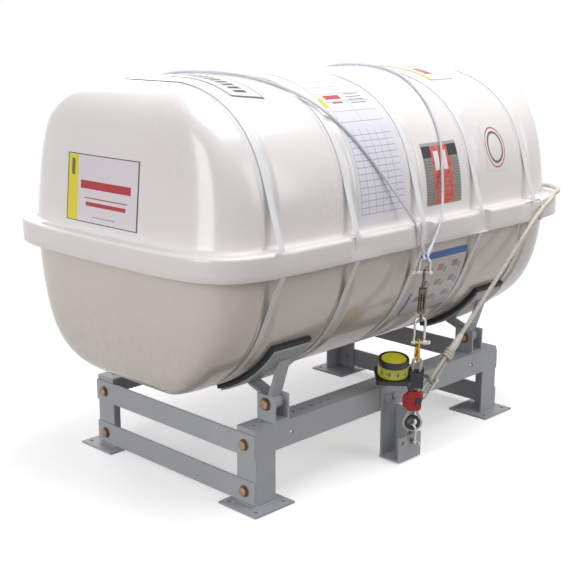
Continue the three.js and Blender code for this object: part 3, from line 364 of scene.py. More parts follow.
class Paint:
    def __init__(self, name):
        self.material = bpy.data.materials.new(name)
        self.material.use_nodes = True
        self.tree = self.material.node_tree
        self.surface = self.tree.nodes["Principled BSDF"]

    def node(self, kind, settings=None, values=None, output=0):
        made = self.tree.nodes.new(kind)
        for key, value in (settings or {}).items():
            if key == "stops":
                while len(made.color_ramp.elements) < len(value):
                    made.color_ramp.elements.new(0.5)
                for stop, (place, tone) in zip(made.color_ramp.elements, value):
                    stop.position = place
                    stop.color = tone
            else:
                setattr(made, key, value)
        for key, value in (values or {}).items():
            self.put(made.inputs[key], value)
        return Signal(self, made.outputs[output])

    def put(self, socket, value):
        if isinstance(value, Signal):
            self.tree.links.new(value.socket, socket)
        else:
            socket.default_value = value

    def objectPlace(self, scale=(1, 1, 1)):
        place = self.node("ShaderNodeTexCoord", output="Object")
        return self.node("ShaderNodeMapping", {}, {"Vector": place, "Scale": scale})

    def noise(self, scale, detail=3, stretch=(1, 1, 1), roughness=0.5):
        return self.node("ShaderNodeTexNoise", {}, {"Vector": self.objectPlace(stretch), "Scale": scale,
                                                    "Detail": detail, "Roughness": roughness})

    def blend(self, mask, first, second):
        return self.node("ShaderNodeMix", {"data_type": "RGBA"}, {0: mask, 6: first, 7: second}, output=2)

    def between(self, value, low, high):
        return self.node("ShaderNodeMapRange", {"clamp": True},
                         {"Value": value, "From Min": low, "From Max": high})

    def bump(self, height, strength, distance=0.001, under=None):
        values = {"Height": height, "Strength": strength, "Distance": distance}
        if under:
            values["Normal"] = under
        return self.node("ShaderNodeBump", {}, values)

    def finish(self, **sockets):
        for key, value in sockets.items():
            self.put(self.surface.inputs[key.replace("_", " ")], value)
        return self.material


def gelcoat(name, tone, shade, lowShade):
    paint = Paint(name)
    cloud = paint.noise(2.2, 2)
    fine = paint.noise(38, 4)
    patches = paint.between(cloud, 0.35, 0.7)
    # Darker towards the bottom, mottled by fine noise: painted shade under the canister; the last argument
    # sets how strong it is.
    height = paint.node("ShaderNodeSeparateXYZ", {}, {0: paint.node("ShaderNodeTexCoord", output="Object")},
                        output="Z")
    low = 1 - paint.between(height, 0.28, 0.62)
    base = paint.blend(patches * 0.6, colour(tone), colour(shade))
    base = paint.blend(low * lowShade * (0.5 + paint.between(fine, 0.3, 0.8)), base, colour("A79E92"))
    ripple = paint.bump(paint.noise(9, 2), 0.05, 0.004)
    peel = paint.bump(paint.noise(260, 2), 0.035, 0.0006, under=ripple)
    return paint.finish(Base_Color=base, Roughness=0.2 + patches * 0.06 + fine * 0.05, Normal=peel,
                        Coat_Weight=0.35, Coat_Roughness=0.08, Specular_IOR_Level=0.5)


def paintedSteel(name, tone, shade):
    paint = Paint(name)
    cloud = paint.between(paint.noise(6, 4), 0.3, 0.75)
    speck = paint.between(paint.noise(420, 2), 0.62, 0.78)
    base = paint.blend(cloud * 0.55, colour(tone), colour(shade))
    base = paint.blend(speck * 0.25, base, colour("6E7072"))
    scuff = paint.between(paint.noise(34, 6, (1, 1, 0.3)), 0.66, 0.8)
    base = paint.blend(scuff * 0.3, base, colour("B9BDBE"))
    peel = paint.bump(paint.noise(330, 3), 0.12, 0.0006)
    return paint.finish(Base_Color=base, Roughness=0.36 + cloud * 0.12 + scuff * 0.15, Normal=peel,
                        Metallic=0.0, Specular_IOR_Level=0.5)


def bareMetal(name, tone, shade, rough, grain=180, metal=1.0):
    paint = Paint(name)
    cloud = paint.between(paint.noise(70, 4), 0.3, 0.72)
    scratch = paint.noise(grain, 4, (1, 1, 0.12))
    base = paint.blend(cloud, colour(tone), colour(shade))
    return paint.finish(Base_Color=base, Metallic=metal, Roughness=rough + cloud * 0.14 + scratch * 0.1,
                        Normal=paint.bump(scratch, 0.1, 0.0004))


def moulded(name, tone, shade, rough=0.42, grain=520, strength=0.1):
    paint = Paint(name)
    cloud = paint.between(paint.noise(24, 3), 0.3, 0.75)
    fine = paint.noise(grain, 3)
    base = paint.blend(cloud * 0.6, colour(tone), colour(shade))
    return paint.finish(Base_Color=base, Roughness=rough + fine * 0.12,
                        Normal=paint.bump(fine, strength, 0.0005))


def ropeFibre(name, tone, shade, strands, pitch):
    paint = Paint(name)
    fibre = paint.noise(900, 4, (1, 1, 0.35))
    dirt = paint.between(paint.noise(26, 3), 0.45, 0.8)
    base = paint.blend(paint.between(fibre, 0.3, 0.75), colour(tone), colour(shade))
    base = paint.blend(dirt * 0.35, base, colour("B7AF9E"))
    along = paint.node("ShaderNodeSeparateXYZ", {}, {0: paint.node("ShaderNodeTexCoord", output="UV")},
                       output="X")
    around = paint.node("ShaderNodeSeparateXYZ", {}, {0: paint.node("ShaderNodeTexCoord", output="UV")},
                        output="Y")
    first = paint.node("ShaderNodeMath", {"operation": "COSINE"},
                       {0: 2 * pi * (around * strands + along / (2 * pitch))})
    second = paint.node("ShaderNodeMath", {"operation": "COSINE"},
                        {0: 2 * pi * (around * strands - along / (2 * pitch))})
    # Painted shade in the hollows between the strands.
    hollowShade = 1 - paint.between(abs(first) | abs(second), 0.35, 0.95)
    base = paint.blend(hollowShade * 0.6, base, colour("8F8776"))
    yarn = paint.node("ShaderNodeMath", {"operation": "SINE"}, {0: along * (2 * pi * strands / pitch)})
    bump = paint.bump(yarn * 0.3 + fibre, 0.5, 0.0008)
    return paint.finish(Base_Color=base, Roughness=0.82, Normal=bump, Sheen_Weight=0.25, Sheen_Roughness=0.5)


shellFinish = gelcoat("shell_gelcoat", "ECE8E6", "E2DEDD", 0.0)
# The lower half is a darker copy of the shell's gelcoat, painted shade of the underside, with more painted
# shade towards the bottom.
lowerFinish = gelcoat("lower_gelcoat_painted_shade", "DCD4CE", "D2C9C2", 0.4)
strapFinish = moulded("strap_white", "EBEEF0", "DDE1E4", 0.3, 300, 0.06)
cradleFinish = paintedSteel("cradle_grey_paint", "B3B6BA", "A6A9AD")
rubberFinish = moulded("saddle_rubber_black", "1B191D", "28262A", 0.62, 700, 0.3)
boltFinish = bareMetal("bolt_bronze", "B89A80", "957A62", 0.4, metal=0.75)
washerFinish = bareMetal("washer_dark", "7A6A5C", "655749", 0.45)
steelFinish = bareMetal("shackle_steel_bright", "C2C1BC", "A5A39C", 0.22)
darkSteelFinish = bareMetal("turnbuckle_dark_steel", "7C7069", "57504C", 0.3)
brassFinish = bareMetal("hook_brass_worn", "D6A145", "B07E33", 0.22)
braidFinish = ropeFibre("painter_braid", "F3EFE4", "E0DAC9", 3, 0.011)
twistFinish = ropeFibre("loop_rope_white", "EFEDE6", "D9D5CA", 3, 0.014)
wireFinish = moulded("wire_coating_pale", "D3D5DE", "BFC1CC", 0.28, 240, 0.05)
blackFinish = moulded("black_plastic_moulded", "17161B", "232127", 0.38, 480, 0.12)
yellowFinish = moulded("drum_yellow", "D2D01C", "C2BE16", 0.32, 420, 0.05)
redFinish = moulded("link_red", "A80F12", "8C0A0D", 0.3, 420, 0.06)
raftFinish = moulded("raft_orange_fabric", "D86820", "C45A1A", 0.75, 900, 0.4)
print("materials made")

# Painter: the free line, laid first. The route repeats the one of the solid part.
painter = {
    "diameter": 14, "end": (526, -509, 690),
    "route": [(582, -509, 727), (630, -507.5, 752), (664, -495, 763.5), (706, -482, 763.5),
              (748, -460, 763.5), (780, -428, 763.5), (801, -388, 763.5), (804, -340, 763.5),
              (808, -290, 766), (815, -264, 770), (812, -246, 775), (802, -239, 777), (790, -238, 777),
              (777, -238, 777)],
    "sleeveTo": 250, "sag": 9, "braid": 9,
}

# Release line: its own frame, z up the line and x to the right as one faces it
line = {"top": (-45, -517, 648), "bottom": (14, -436, 64), "facing": -45}
lineUp = (Vector(line["top"]) - Vector(line["bottom"])).normalized()
lineRight = Vector((cos(radians(line["facing"])), sin(radians(line["facing"])), 0))
lineRight = (lineRight - lineUp * lineRight.dot(lineUp)).normalized()
lineAway = lineUp.cross(lineRight)


def frameOf(right, up, origin):
    away = up.cross(right)
    return Matrix((
        (right.x, away.x, up.x, origin[0]), (right.y, away.y, up.y, origin[1]),
        (right.z, away.z, up.z, origin[2]), (0, 0, 0, 1)))


lineFrame = frameOf(lineRight, lineUp, line["top"])


def downLine(distance, x=0, y=0):
    return lineFrame @ Vector((x, y, -distance))


link = {"top": 420, "bottom": 488, "left": -34, "right": 42, "thickness": 15, "ear": 7, "holeOut": 29,
        "holeDown": 464, "holeRadius": 9.5}
painterEnd = Vector(painter["end"])
towards = painterEnd - downLine(link["holeDown"])
earTurn = atan2(towards.dot(lineAway), towards.dot(lineRight))
earPlace = downLine(link["holeDown"], link["holeOut"] * cos(earTurn), link["holeOut"] * sin(earTurn))
painterAim = (painterEnd - earPlace).normalized()
painterFrame = frameOf(lineUp.cross(painterAim).normalized(), -painterAim, earPlace)

painterStart = painterFrame @ Vector((0, 0, -painter["sleeveTo"] - 0.3))
painterPoints = [painterStart.lerp(painterEnd, t) for t in (0, 0.25, 0.5, 0.75, 1)]
painterPoints += [Vector(p) for p in painter["route"]]
painterPath = smoothPath(painterPoints, 2.2)


def braidRelief(turn, length):
    first = cos(3 * turn + 2 * pi * length / 22)
    second = cos(3 * turn - 2 * pi * length / 22)
    return 0.85 + 0.15 * max(abs(first), abs(second)) ** 1.4


def pathLength(path):
    return sum((b - a).length for a, b in zip(path, path[1:]))


painterRope = tubeAlong(painterPath, painter["diameter"] / 2, 24, relief=braidRelief)
finished(painterRope, "painterBraid", braidFinish, replaced=("painter_rope",), smooth=0)
round(pathLength(painterPath) / 1000, 4)
[tuple(p * 0.001) for p in painterPath[::6] + [painterPath[-1]]]
print("painter laid")

# Canister form: end, side and corner faces blended into each other
body = {"length": 782, "width": 458, "corner": 835, "power": 16, "wall": 5,
        "beltTop": 755, "beltBottom": 688, "beltReach": 42, "edge": 9, "fillet": 14, "filletReach": 10}
upperHalf = {"height": 418, "draft": 40, "endPower": 9, "sidePower": 2.5}
lowerHalf = {"height": 402, "draft": 20, "endPower": 8, "sidePower": 2}
straps = {"places": [-596, -308, -20, 268, 556], "width": 20, "thickness": 1.7, "clearance": 0.6,
          "recess": 12, "floor": 50, "mouth": 74, "grooveFloor": 19, "grooveEdge": 33, "grooveDepth": 5.5}
canisterMiddle = Vector((0, 0, 720))
filmThickness = 0.35


def formValue(half, inset, x, y, t):
    t = np.clip(t, 0, 0.999999)
    endX = (body["length"] - inset - half["draft"] * t) * (1
        - t ** half["endPower"]) ** (1 / half["endPower"])
    sideY = (body["width"] - inset) * (1 - t ** half["sidePower"]) ** (1 / half["sidePower"])
    corner = body["corner"] - inset - half["draft"] * t
    x, y = np.abs(x), np.abs(y)
    power = body["power"]
    return (x / endX) ** power + (y / sideY) ** power + ((x + y) * sqrt(0.5) / corner) ** power


def formPoints(half, origin, aim, inset=0):
    # Where rays from inside, in (x, y, height), meet the form.
    low, high = np.zeros(aim.shape[:-1]), np.full(aim.shape[:-1], 1200.0)
    height = half["height"] - inset
    for _ in range(44):
        middle = (low + high) / 2
        at = origin + aim * middle[..., None]
        t = at[..., 2] / height
        inside = (t < 0.999999) & (formValue(half, inset, at[..., 0], at[..., 1], t) < 1)
        low, high = np.where(inside, middle, low), np.where(inside, high, middle)
    return origin + aim * low[..., None]


def grooveAt(x):
    depth = np.zeros_like(x)
    for place in straps["places"]:
        share = np.clip((straps["grooveEdge"] - np.abs(x - place)) / (straps["grooveEdge"]
            - straps["grooveFloor"]), 0, 1)
        depth = np.maximum(depth, straps["grooveDepth"] * share * share * (3 - 2 * share))
    return depth


def planOffset(points, offset):
    # The same directions in plan, on the form's base line grown by the offset.
    flat = points[:, :2] / np.linalg.norm(points[:, :2], axis=1)[:, None]
    x, y = np.abs(flat[:, 0]), np.abs(flat[:, 1])
    power = body["power"]
    reach = (x / (body["length"] + offset)) ** power + (y / (body["width"] + offset)) ** power
    reach += ((x + y) * sqrt(0.5) / (body["corner"] + offset)) ** power
    return flat * (reach ** (-1 / power))[:, None]


def recessed(points, extra=0.0):
    # Pushes the belt's outline in where a band lies in its recess.
    result = points.copy()
    outer = body["width"] + body["beltReach"]
    for place in straps["places"]:
        away = np.abs(result[:, 0] - place)
        share = np.clip((straps["mouth"] / 2 - away) / ((straps["mouth"] - straps["floor"]) / 2), 0, 1)
        limit = outer - (straps["recess"] * share * share * (3 - 2 * share)) - extra
        result[:, 1] = np.sign(result[:, 1]) * np.minimum(np.abs(result[:, 1]), limit)
    return result


# Grid columns: from a place on the axis, towards x and a share of y
meshReach = 645.0
marks = [-straps["grooveEdge"] - 6, -straps["grooveEdge"], -28, -24, -straps["grooveFloor"], -8, 8,
         straps["grooveFloor"], 24, 28, straps["grooveEdge"], straps["grooveEdge"] + 6]
xPlaces = sorted({round(place + mark, 3) for place in straps["places"] for mark in marks}
                 | {-meshReach, meshReach} | {float(x) for gapStart in (-557, -269, 19, 307) for x in
                                      np.linspace(gapStart + 44, gapStart + 210, 6)} | {610.0, 622.0, 634.0})
xPlaces = [x for x in xPlaces if abs(x) <= meshReach]
endTargets = [(x, 458) for x in (655, 666, 678, 690, 700, 709, 717, 724, 731)]
endTargets += [(731 + 47 * k / 8, 458 - 50 * k / 8) for k in range(1, 9)]
endTargets += [(782, r) for r in (400, 391, 382, 372, 360, 345, 325, 300, 270, 235, 195, 150, 100, 50, 22,
    0)]
columns = [(-meshReach, meshReach - x, r) for x, r in reversed(endTargets)]
columns += [(x, 0.0, 1.0) for x in xPlaces]
columns += [(meshReach, x - meshReach, r) for x, r in endTargets]
baseTurns = [0, 0.35, 0.7, 1.05, 1.4, 1.8, 2.4, 3.4, 5]
upTurns = baseTurns + list(np.linspace(7.5, 90, 34))
turns = [radians(a) for a in upTurns + [180 - a for a in reversed(upTurns[:-1])]]


def makeHalf(half, baseZ, direction, inset=0, grooves=True, fillet=True):
    piece = newGrid(len(columns) - 1, len(turns) - 1)
    start = np.array([[[x0, 0, 0] for x0, _, _ in columns]] * len(turns), float)
    aim = np.array([[[dx, -r * cos(a), r * sin(a)] for _, dx, r in columns] for a in turns])
    aim /= np.linalg.norm(aim, axis=2)[..., None]
    points = formPoints(half, start, aim, inset)
    if grooves:
        outward = points.copy()
        outward[..., 0] = 0
        outward /= np.maximum(np.linalg.norm(outward, axis=2), 1)[..., None]
        points -= outward * grooveAt(points[..., 0])[..., None]
    if fillet:
        rise = np.clip(1 - points[..., 2] / body["fillet"], 0, 1)
        push = body["filletReach"] * (1 - np.sqrt(1 - rise * rise * 0.999))
        flat = np.linalg.norm(points[..., :2], axis=2)
        points[..., :2] *= (1 + push / flat)[..., None]
    points[..., 2] = baseZ + direction * points[..., 2]
    piece.data.vertices.foreach_set("co", points.reshape(-1, 3).ravel())
    piece.data.update()

    def close():
        bpy.ops.mesh.select_all(action="SELECT")
        bpy.ops.mesh.remove_doubles(threshold=0.02)
        turnFacesOut()

    inEdit(piece, close)
    return piece


def facedOut(piece):
    # Turns an open skin so that its faces look away from the canister's middle.
    def face():
        mesh = bmesh.from_edit_mesh(piece.data)
        mesh.normal_update()
        if sum(f.normal.dot(f.calc_center_median() - canisterMiddle) for f in mesh.faces) < 0:
            bpy.ops.mesh.select_all(action="SELECT")
            bpy.ops.mesh.flip_normals()

    inEdit(piece, face)
    return piece


def extrudeRim(piece, places):
    # Extrudes the open rim once for each (offset, height, recess depth).
    def grow():
        selectRims()
        for offset, z, extra in places:
            bpy.ops.mesh.extrude_edges_move()
            mesh = bmesh.from_edit_mesh(piece.data)
            rim = [v for v in mesh.verts if v.select]
            spots = planOffset(np.array([v.co[:] for v in rim]), offset)
            if extra is not None:
                spots = recessed(spots, extra)
            for vertex, spot in zip(rim, spots):
                vertex.co = (spot[0], spot[1], z)
            bmesh.update_edit_mesh(piece.data)
        turnFacesOut()

    inEdit(piece, grow)
    return facedOut(piece)


top, bottom, reach, edge = body["beltTop"], body["beltBottom"], body["beltReach"], body["edge"]
upperRim = [(18, top, 0), (27, top - 0.3, 0), (reach - edge, top - 0.7, 0)]
upperRim += [(reach - edge + edge * sin(a), top - 0.7 - edge * (1 - cos(a)), 0)
             for a in [radians(18 * k) for k in range(1, 6)]]
upperRim += [(reach, top - 24, 0), (reach, bottom + 20, 0), (reach, bottom + 3, 0),
             (reach - 1, bottom + 0.8, 0.6),
             (reach - 2.6, bottom, 1.6)]
upperShell = extrudeRim(makeHalf(upperHalf, top, 1), upperRim)
applied(upperShell, "SOLIDIFY", thickness=body["wall"], offset=-1, use_even_offset=False)
port = {"y": -238, "z": 777, "radius": 17}
bored(upperShell, rod((730, port["y"], port["z"]), (820, port["y"], port["z"]), port["radius"]))
finished(upperShell, "upperShell", shellFinish, replaced=("upper_shell",), smooth=50)

lowerRim = [(0, bottom + 20, None), (0, top - 18, None), (4, top - 13.5, 7.5), (20, top - 12.6, 7.5),
            (33, top - 12.4, 7.5)]
lowerShell = extrudeRim(makeHalf(lowerHalf, bottom, -1, fillet=False), lowerRim)
applied(lowerShell, "SOLIDIFY", thickness=body["wall"], offset=-1, use_even_offset=False)
finished(lowerShell, "lowerShell", lowerFinish, replaced=("lower_shell",), smooth=50)

packed = {"inset": 17}
packTop = makeHalf(upperHalf, top, 1, packed["inset"], grooves=False, fillet=False)
packBottom = makeHalf(lowerHalf, bottom, -1, packed["inset"], grooves=False, fillet=False)
raft = joined(packTop, packBottom)


def bridgeRims():
    selectRims()
    bpy.ops.mesh.bridge_edge_loops()
    turnFacesOut()


inEdit(raft, bridgeRims)
finished(raft, "packedRaft", raftFinish, replaced=("raft_pack",), smooth=0)
print("canister moulded")


# Straps: tight round both halves and the floor of the belt's recess
def hull(points):
    def turned(o, a, b):
        return (a[0] - o[0]) * (b[1] - o[1]) - (a[1] - o[1]) * (b[0] - o[0])

    def chain(spots):
        out = []
        for p in spots:
            while len(out) > 1 and turned(out[-2], out[-1], p) <= 1e-9:
                out.pop()
            out.append(p)
        return out[:-1]

    spots = sorted({(round(a, 4), round(b, 4)) for a, b in points})
    return chain(spots) + chain(spots[::-1])


def section(x, sink=0.0, steps=180):
    # Outside of the canister at x, as (y, z), without the belt.
    spots = []
    for half, baseZ, direction in ((upperHalf, top, 1), (lowerHalf, bottom, -1)):
        angles = np.linspace(0, pi, steps)
        aim = np.stack([np.zeros(steps), np.cos(angles), np.sin(angles)], 1)
        at = formPoints(half, np.array([x, 0, 0], float) + np.zeros((steps, 3)), aim)
        at[:, 1:] *= (1 - sink / np.linalg.norm(at[:, 1:], axis=1))[:, None]
        spots += [(p[1], baseZ + direction * p[2]) for p in at]
    return spots


def evenly(outline, step):
    # Points at even steps round a closed outline, its corners kept.
    result = []
    for i, a in enumerate(outline):
        b = outline[(i + 1) % len(outline)]
        count = max(1, round(dist(a, b) / step))
        result += [(a[0] + (b[0] - a[0]) * k / count, a[1] + (b[1] - a[1]) * k / count)
                   for k in range(count)]
    return result


def grown(outline, offset):
    result = []
    count = len(outline)
    for i, (y, z) in enumerate(outline):
        before, after = outline[i - 1], outline[(i + 1) % count]
        run = Vector((after[0] - before[0], after[1] - before[1])).normalized()
        result.append((y + run.y * offset, z - run.x * offset))
    return result


for number, place in enumerate(straps["places"], 1):
    floorY = body["width"] + body["beltReach"] - straps["recess"]
    spots = section(place, straps["grooveDepth"])
    for sign in (-1, 1):
        spots += [(sign * floorY, z) for z in (bottom, top - 7)]
        spots += [(sign * (floorY - 1.5), top - 3.5), (sign * (floorY - 4.5), top - 1)]
    outline = evenly(grown(hull(spots), straps["clearance"]), 14)
    strap = fromCircle([(place - straps["width"] / 2, y, z) for y, z in outline])

    def widen():
        bpy.ops.mesh.select_all(action="SELECT")
        bpy.ops.mesh.extrude_region_move(TRANSFORM_OT_translate={"value": (straps["width"], 0, 0)})
        turnFacesOut()

    inEdit(strap, widen)
    applied(strap, "SOLIDIFY", thickness=straps["thickness"], offset=1)
    rounded(strap, 0.5, 2, 50)
    finished(strap, f"strap{number}", strapFinish, replaced=(f"band_{number}",))
print("straps tightened")


# Printed fields on the canister, plain blocks of colour with no lettering
def film(steps):
    piece = newGrid(steps, steps)
    return piece, np.array([v.co[:2] for v in piece.data.vertices]) / 2 + 0.5


def patch(name, rows, half, baseZ, direction, material, lift=0.5):
    # rows: for each corner (x, turn in degrees): left low, right low, left high, right high.
    piece, uv = film(28)
    u, v = uv[:, :1], uv[:, 1:2]
    corners = np.array(rows, float)
    spot = (corners[0] * (1 - u) + corners[1] * u) * (1 - v) + (corners[2] * (1 - u) + corners[3] * u) * v
    turn = np.radians(spot[:, 1])
    count = len(spot)
    start = np.stack([spot[:, 0], np.zeros(count), np.zeros(count)], 1)
    aim = np.stack([np.zeros(count), -np.cos(turn), np.sin(turn)], 1)
    points = formPoints(half, start, aim)
    points[:, 1:] *= (1 + lift / np.linalg.norm(points[:, 1:], axis=1))[:, None]
    points[:, 2] = baseZ + direction * points[:, 2]
    piece.data.vertices.foreach_set("co", points.ravel())
    return stuck(piece, name, material)


def endPatch(name, yRange, zRange, material, lift=0.5):
    # On the end face: rays along X meet the form.
    piece, uv = film(24)
    y = yRange[0] + (yRange[1] - yRange[0]) * uv[:, 0]
    z = zRange[0] + (zRange[1] - zRange[0]) * uv[:, 1]
    start = np.stack([np.zeros(len(y)), y, z - top], 1)
    aim = np.stack([-np.ones(len(y)), np.zeros(len(y)), np.zeros(len(y))], 1)
    points = formPoints(upperHalf, start, aim)
    points[:, 0] -= lift
    points[:, 2] += top
    piece.data.vertices.foreach_set("co", points.ravel())
    return stuck(piece, name, material)


def stuck(piece, name, material):
    applied(facedOut(piece), "SOLIDIFY", thickness=filmThickness, offset=1)
    return finished(piece, name, material, smooth=60)


class Print(Paint):
    # A printed film: fields drawn by the piece's own UV map.
    def __init__(self, name, ground):
        super().__init__(name)
        uv = self.node("ShaderNodeTexCoord", output="UV")
        self.u = self.node("ShaderNodeSeparateXYZ", {}, {0: uv}, output="X")
        self.v = self.node("ShaderNodeSeparateXYZ", {}, {0: uv}, output="Y")
        self.tone = self.blend(self.between(self.noise(60, 2), 0.3, 0.7) * 0.2, colour(ground),
            colour("D5D2DC"))

    def field(self, u0, u1, v0, v1, tone, strength=1.0):
        mask = (self.u > u0) * (self.u < u1) * (self.v > v0) * (self.v < v1) * strength
        self.tone = self.blend(mask, self.tone, colour(tone))

    def fields(self, *rows):
        for row in rows:
            self.field(*row)

    def frame(self, width, tone):
        mask = (self.u < width) | (self.u > 1 - width) | (self.v < width) | (self.v > 1 - width)
        self.tone = self.blend(mask, self.tone, colour(tone))

    def ruled(self, u0, u1, v0, v1, across, down, line, tone):
        inside = (self.u > u0) * (self.u < u1) * (self.v > v0) * (self.v < v1)
        lines = (((self.u - u0) * (across / (u1 - u0)) % 1.0) < line * across)
        lines = lines | (((self.v - v0) * (down / (v1 - v0)) % 1.0) < line * down)
        self.tone = self.blend(inside * lines * 0.85, self.tone, colour(tone))

    def done(self, rough=0.3):
        fine = self.noise(420, 2)
        return self.finish(Base_Color=self.tone, Roughness=rough + fine * 0.08,
                           Normal=self.bump(fine, 0.05, 0.0004))


endPrint = Print("end_label_print", "E4DCE2")
endPrint.fields((0.84, 0.985, 0.02, 0.98, "E6D92A"), (0.89, 0.94, 0.68, 0.92, "6B6620"),
                (0.10, 0.80, 0.50, 0.62, "B4252B"), (0.14, 0.74, 0.36, 0.375, "B4252B"), (0.16, 0.72, 0.25,
    0.31, "B0343A"), (0.30, 0.62, 0.09, 0.10, "77717A"))
endPrint.frame(0.014, "4A4850")
endPatch("endLabel", (-132, 188), (779, 965), endPrint.done())

stripPrint = Print("strip_label_print", "E9E9EC")
for k in range(9):
    stripPrint.field(0.3, 0.68, 0.1 + 0.09 * k, 0.155 + 0.09 * k, "3B3B40")
stripPrint.frame(0.03, "55555C")
patch("stripLabel", [(-556, 55), (-456, 52), (-556, 88), (-456, 90)], upperHalf, top, 1, stripPrint.done())

formPrint = Print("form_label_print", "E2E1EA")
formPrint.ruled(0.06, 0.94, 0.04, 0.43, 6, 13, 0.006, "6D6C78")
formPrint.ruled(0.06, 0.94, 0.47, 0.97, 2, 8, 0.006, "8A8995")
formPrint.fields((0.14, 0.44, 0.615, 0.645, "C23B42"), (0.2, 0.4, 0.585, 0.595, "C0484E"),
                 (0.0, 0.07, 0.56, 0.63, "D6D62A"))
for k in range(4):
    formPrint.field(0.56, 0.86, 0.58 + 0.022 * k, 0.586 + 0.022 * k, "6F6E78")
patch("formLabel", [(-270, 2.6), (-60, 2.6), (-270, 78), (-60, 78)], upperHalf, top, 1, formPrint.done())

placardPrint = Print("placard_print", "C9431E")
placardPrint.fields((0.0, 0.24, 0.0, 1.0, "8B8B88"), (0.8, 1.0, 0.0, 1.0, "8B8B88"),
                    (0.0, 0.24, 0.76, 0.95, "1E1E20"), (0.72, 1.0, 0.76, 0.95, "1E1E20"), (0.3, 0.44, 0.55,
    0.86, "EFE9E6"), (0.54, 0.66, 0.55, 0.86, "EFE9E6"))
placardPrint.ruled(0.02, 0.22, 0.04, 0.74, 1, 16, 0.012, "4C4C4A")
placardPrint.ruled(0.82, 0.98, 0.04, 0.74, 1, 16, 0.012, "4C4C4A")
placardPrint.ruled(0.3, 0.74, 0.05, 0.5, 2, 6, 0.012, "6A1F12")
placardPrint.field(0.0, 1.0, 0.95, 1.0, "A9A9A6")
patch("placardLabel", [(34, 4.4), (200, 4.4), (34, 27), (200, 27)], upperHalf, top, 1, placardPrint.done())

ringPrint = Print("ring_mark_print", "ECE8E6")
distance = ringPrint.node("ShaderNodeMath", {"operation": "SQRT"},
                          {0: (ringPrint.u - 0.5) * (ringPrint.u - 0.5) + (ringPrint.v - 0.5)
                           * (ringPrint.v - 0.5)})
grey = (distance > 0.30) * (distance < 0.36)
red = (distance > 0.42) * (distance < 0.455)
ringPrint.tone = ringPrint.blend(grey, ringPrint.tone, colour("5C6068"))
ringPrint.tone = ringPrint.blend(red, ringPrint.tone, colour("C0474A"))
patch("ringMark", [(345, 13.5), (455, 13.5), (345, 31), (455, 31)], upperHalf, top, 1, ringPrint.done())

topPrint = Print("top_label_print", "EDEBEE")
topPrint.fields((0.0, 0.16, 0.0, 1.0, "E3DC3A"), (0.3, 0.6, 0.2, 0.5, "C24A50"),
                (0.34, 0.8, 0.62, 0.68, "C24A50"))
topPrint.frame(0.02, "A5A3AB")
patch("topLabel", [(306, 57), (420, 57), (306, 86), (420, 86)], upperHalf, top, 1, topPrint.done())

guidePrint = Print("guide_label_print", "CFCBC8")
guidePrint.fields((0.0, 1.0, 0.9, 1.0, "2A5FA8"), (0.0, 0.05, 0.0, 0.42, "2A6FB8"))
for row, col, tone in ((0.72, 0.12, "8E8B4E"), (0.7, 0.42, "A8604A"), (0.72, 0.72, "A05A62"),
    (0.48, 0.16, "5E5A50"),
                       (0.46, 0.45, "8A8448"), (0.48, 0.74, "6F7A94"), (0.22, 0.16, "4D4A48"), (0.2, 0.46,
                           "7C7A86"),
                       (0.22, 0.74, "5A6E9A")):
    guidePrint.field(col, col + 0.13, row, row + 0.1, tone, 0.8)
    guidePrint.field(col + 0.15, col + 0.2, row - 0.04, row + 0.05, "3E6FB0", 0.6)
guidePrint.ruled(0.06, 0.98, 0.1, 0.88, 3, 3, 0.006, "A9A5A0")
patch("guideLabel", [(14, 33), (244, 33), (14, 5), (244, 5)], lowerHalf, bottom, -1, guidePrint.done())
print("printed fields laid")

# Materials of the solids that stay as they are
finishes = {"rail": cradleFinish, "leg": cradleFinish, "crossbar": cradleFinish, "clevis": cradleFinish,
            "frame": cradleFinish, "bracket": cradleFinish, "anchor": cradleFinish, "pad": rubberFinish,
            "bolt": boltFinish, "bow": steelFinish, "pin": steelFinish, "barrel": darkSteelFinish,
            "screw": darkSteelFinish, "hook": brassFinish, "loop": twistFinish, "base": blackFinish,
            "drum": yellowFinish, "link": redFinish, "thimble": blackFinish, "eye": braidFinish,
            "port": blackFinish, "shell": shellFinish, "pack": raftFinish, "rope": braidFinish}
for nodeName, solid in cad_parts.items():
    words = nodeName.split("_")
    chosen = {"lashing": wireFinish, "band": strapFinish}.get(words[0]) or finishes[words[-1]]
    solid.data.materials.clear()
    solid.data.materials.append(chosen)

cradleCorners = [(endName, end, sideName, side) for endName, end in (("Left", -1), ("Right", 1))
                 for sideName, side in (("Front", -1), ("Back", 1))]

# Bolts with washers over the plain heads of the solids
boltSize = {"across": 13.5, "head": 8.5, "washer": 17, "washerThickness": 2.2}
boltY = 320
saddleX = 465


def headBolt(name, place, axis, s=1.0, painted=False):
    headFinish, discFinish, slotName = boltFinish, washerFinish, "bolt_metal"
    if painted:
        headFinish, discFinish, slotName = cradleFinish, cradleFinish, "cradle_paint"
    aim = Matrix.Translation(place) @ turnedOnto(axis)
    radius, head = boltSize["across"] * s, boltSize["head"] * s
    hexagon = [(radius * cos(radians(60 * k)), radius * sin(radians(60 * k))) for k in range(6)]
    cap = rounded(outlineSolid(hexagon, head + 1, shift(0, 0, boltSize["washerThickness"])), 1.4 * s, 3)
    finished(placed(cap, aim), name + "Head", headFinish)
    disc = boltSize["washer"] * s
    profile = [(2, 0), (disc, 0), (disc, 1.4), (disc - 0.8, 2.2), (2, 2.2)]
    finished(lathe(profile, aim), name + "Washer", discFinish)


for endName, end, sideName, side in cradleCorners:
    for level, z in (("Low", 47), ("High", 184)):
        headBolt(f"bar{endName}{sideName}{level}", (end * 579.05, side * boltY, z), (end, 0, 0))
for k, x in enumerate((-22, 12)):
    headBolt(f"bracketBolt{k}", (x, -366.35, 193), (0, -1, 0), painted=True)
for endName, end, sideName, side in cradleCorners:
    headBolt(f"pivot{endName}{sideName}", (end * saddleX - 29.4, side * boltY, 281), (-1, 0, 0), 1.12)
print("bolts set")


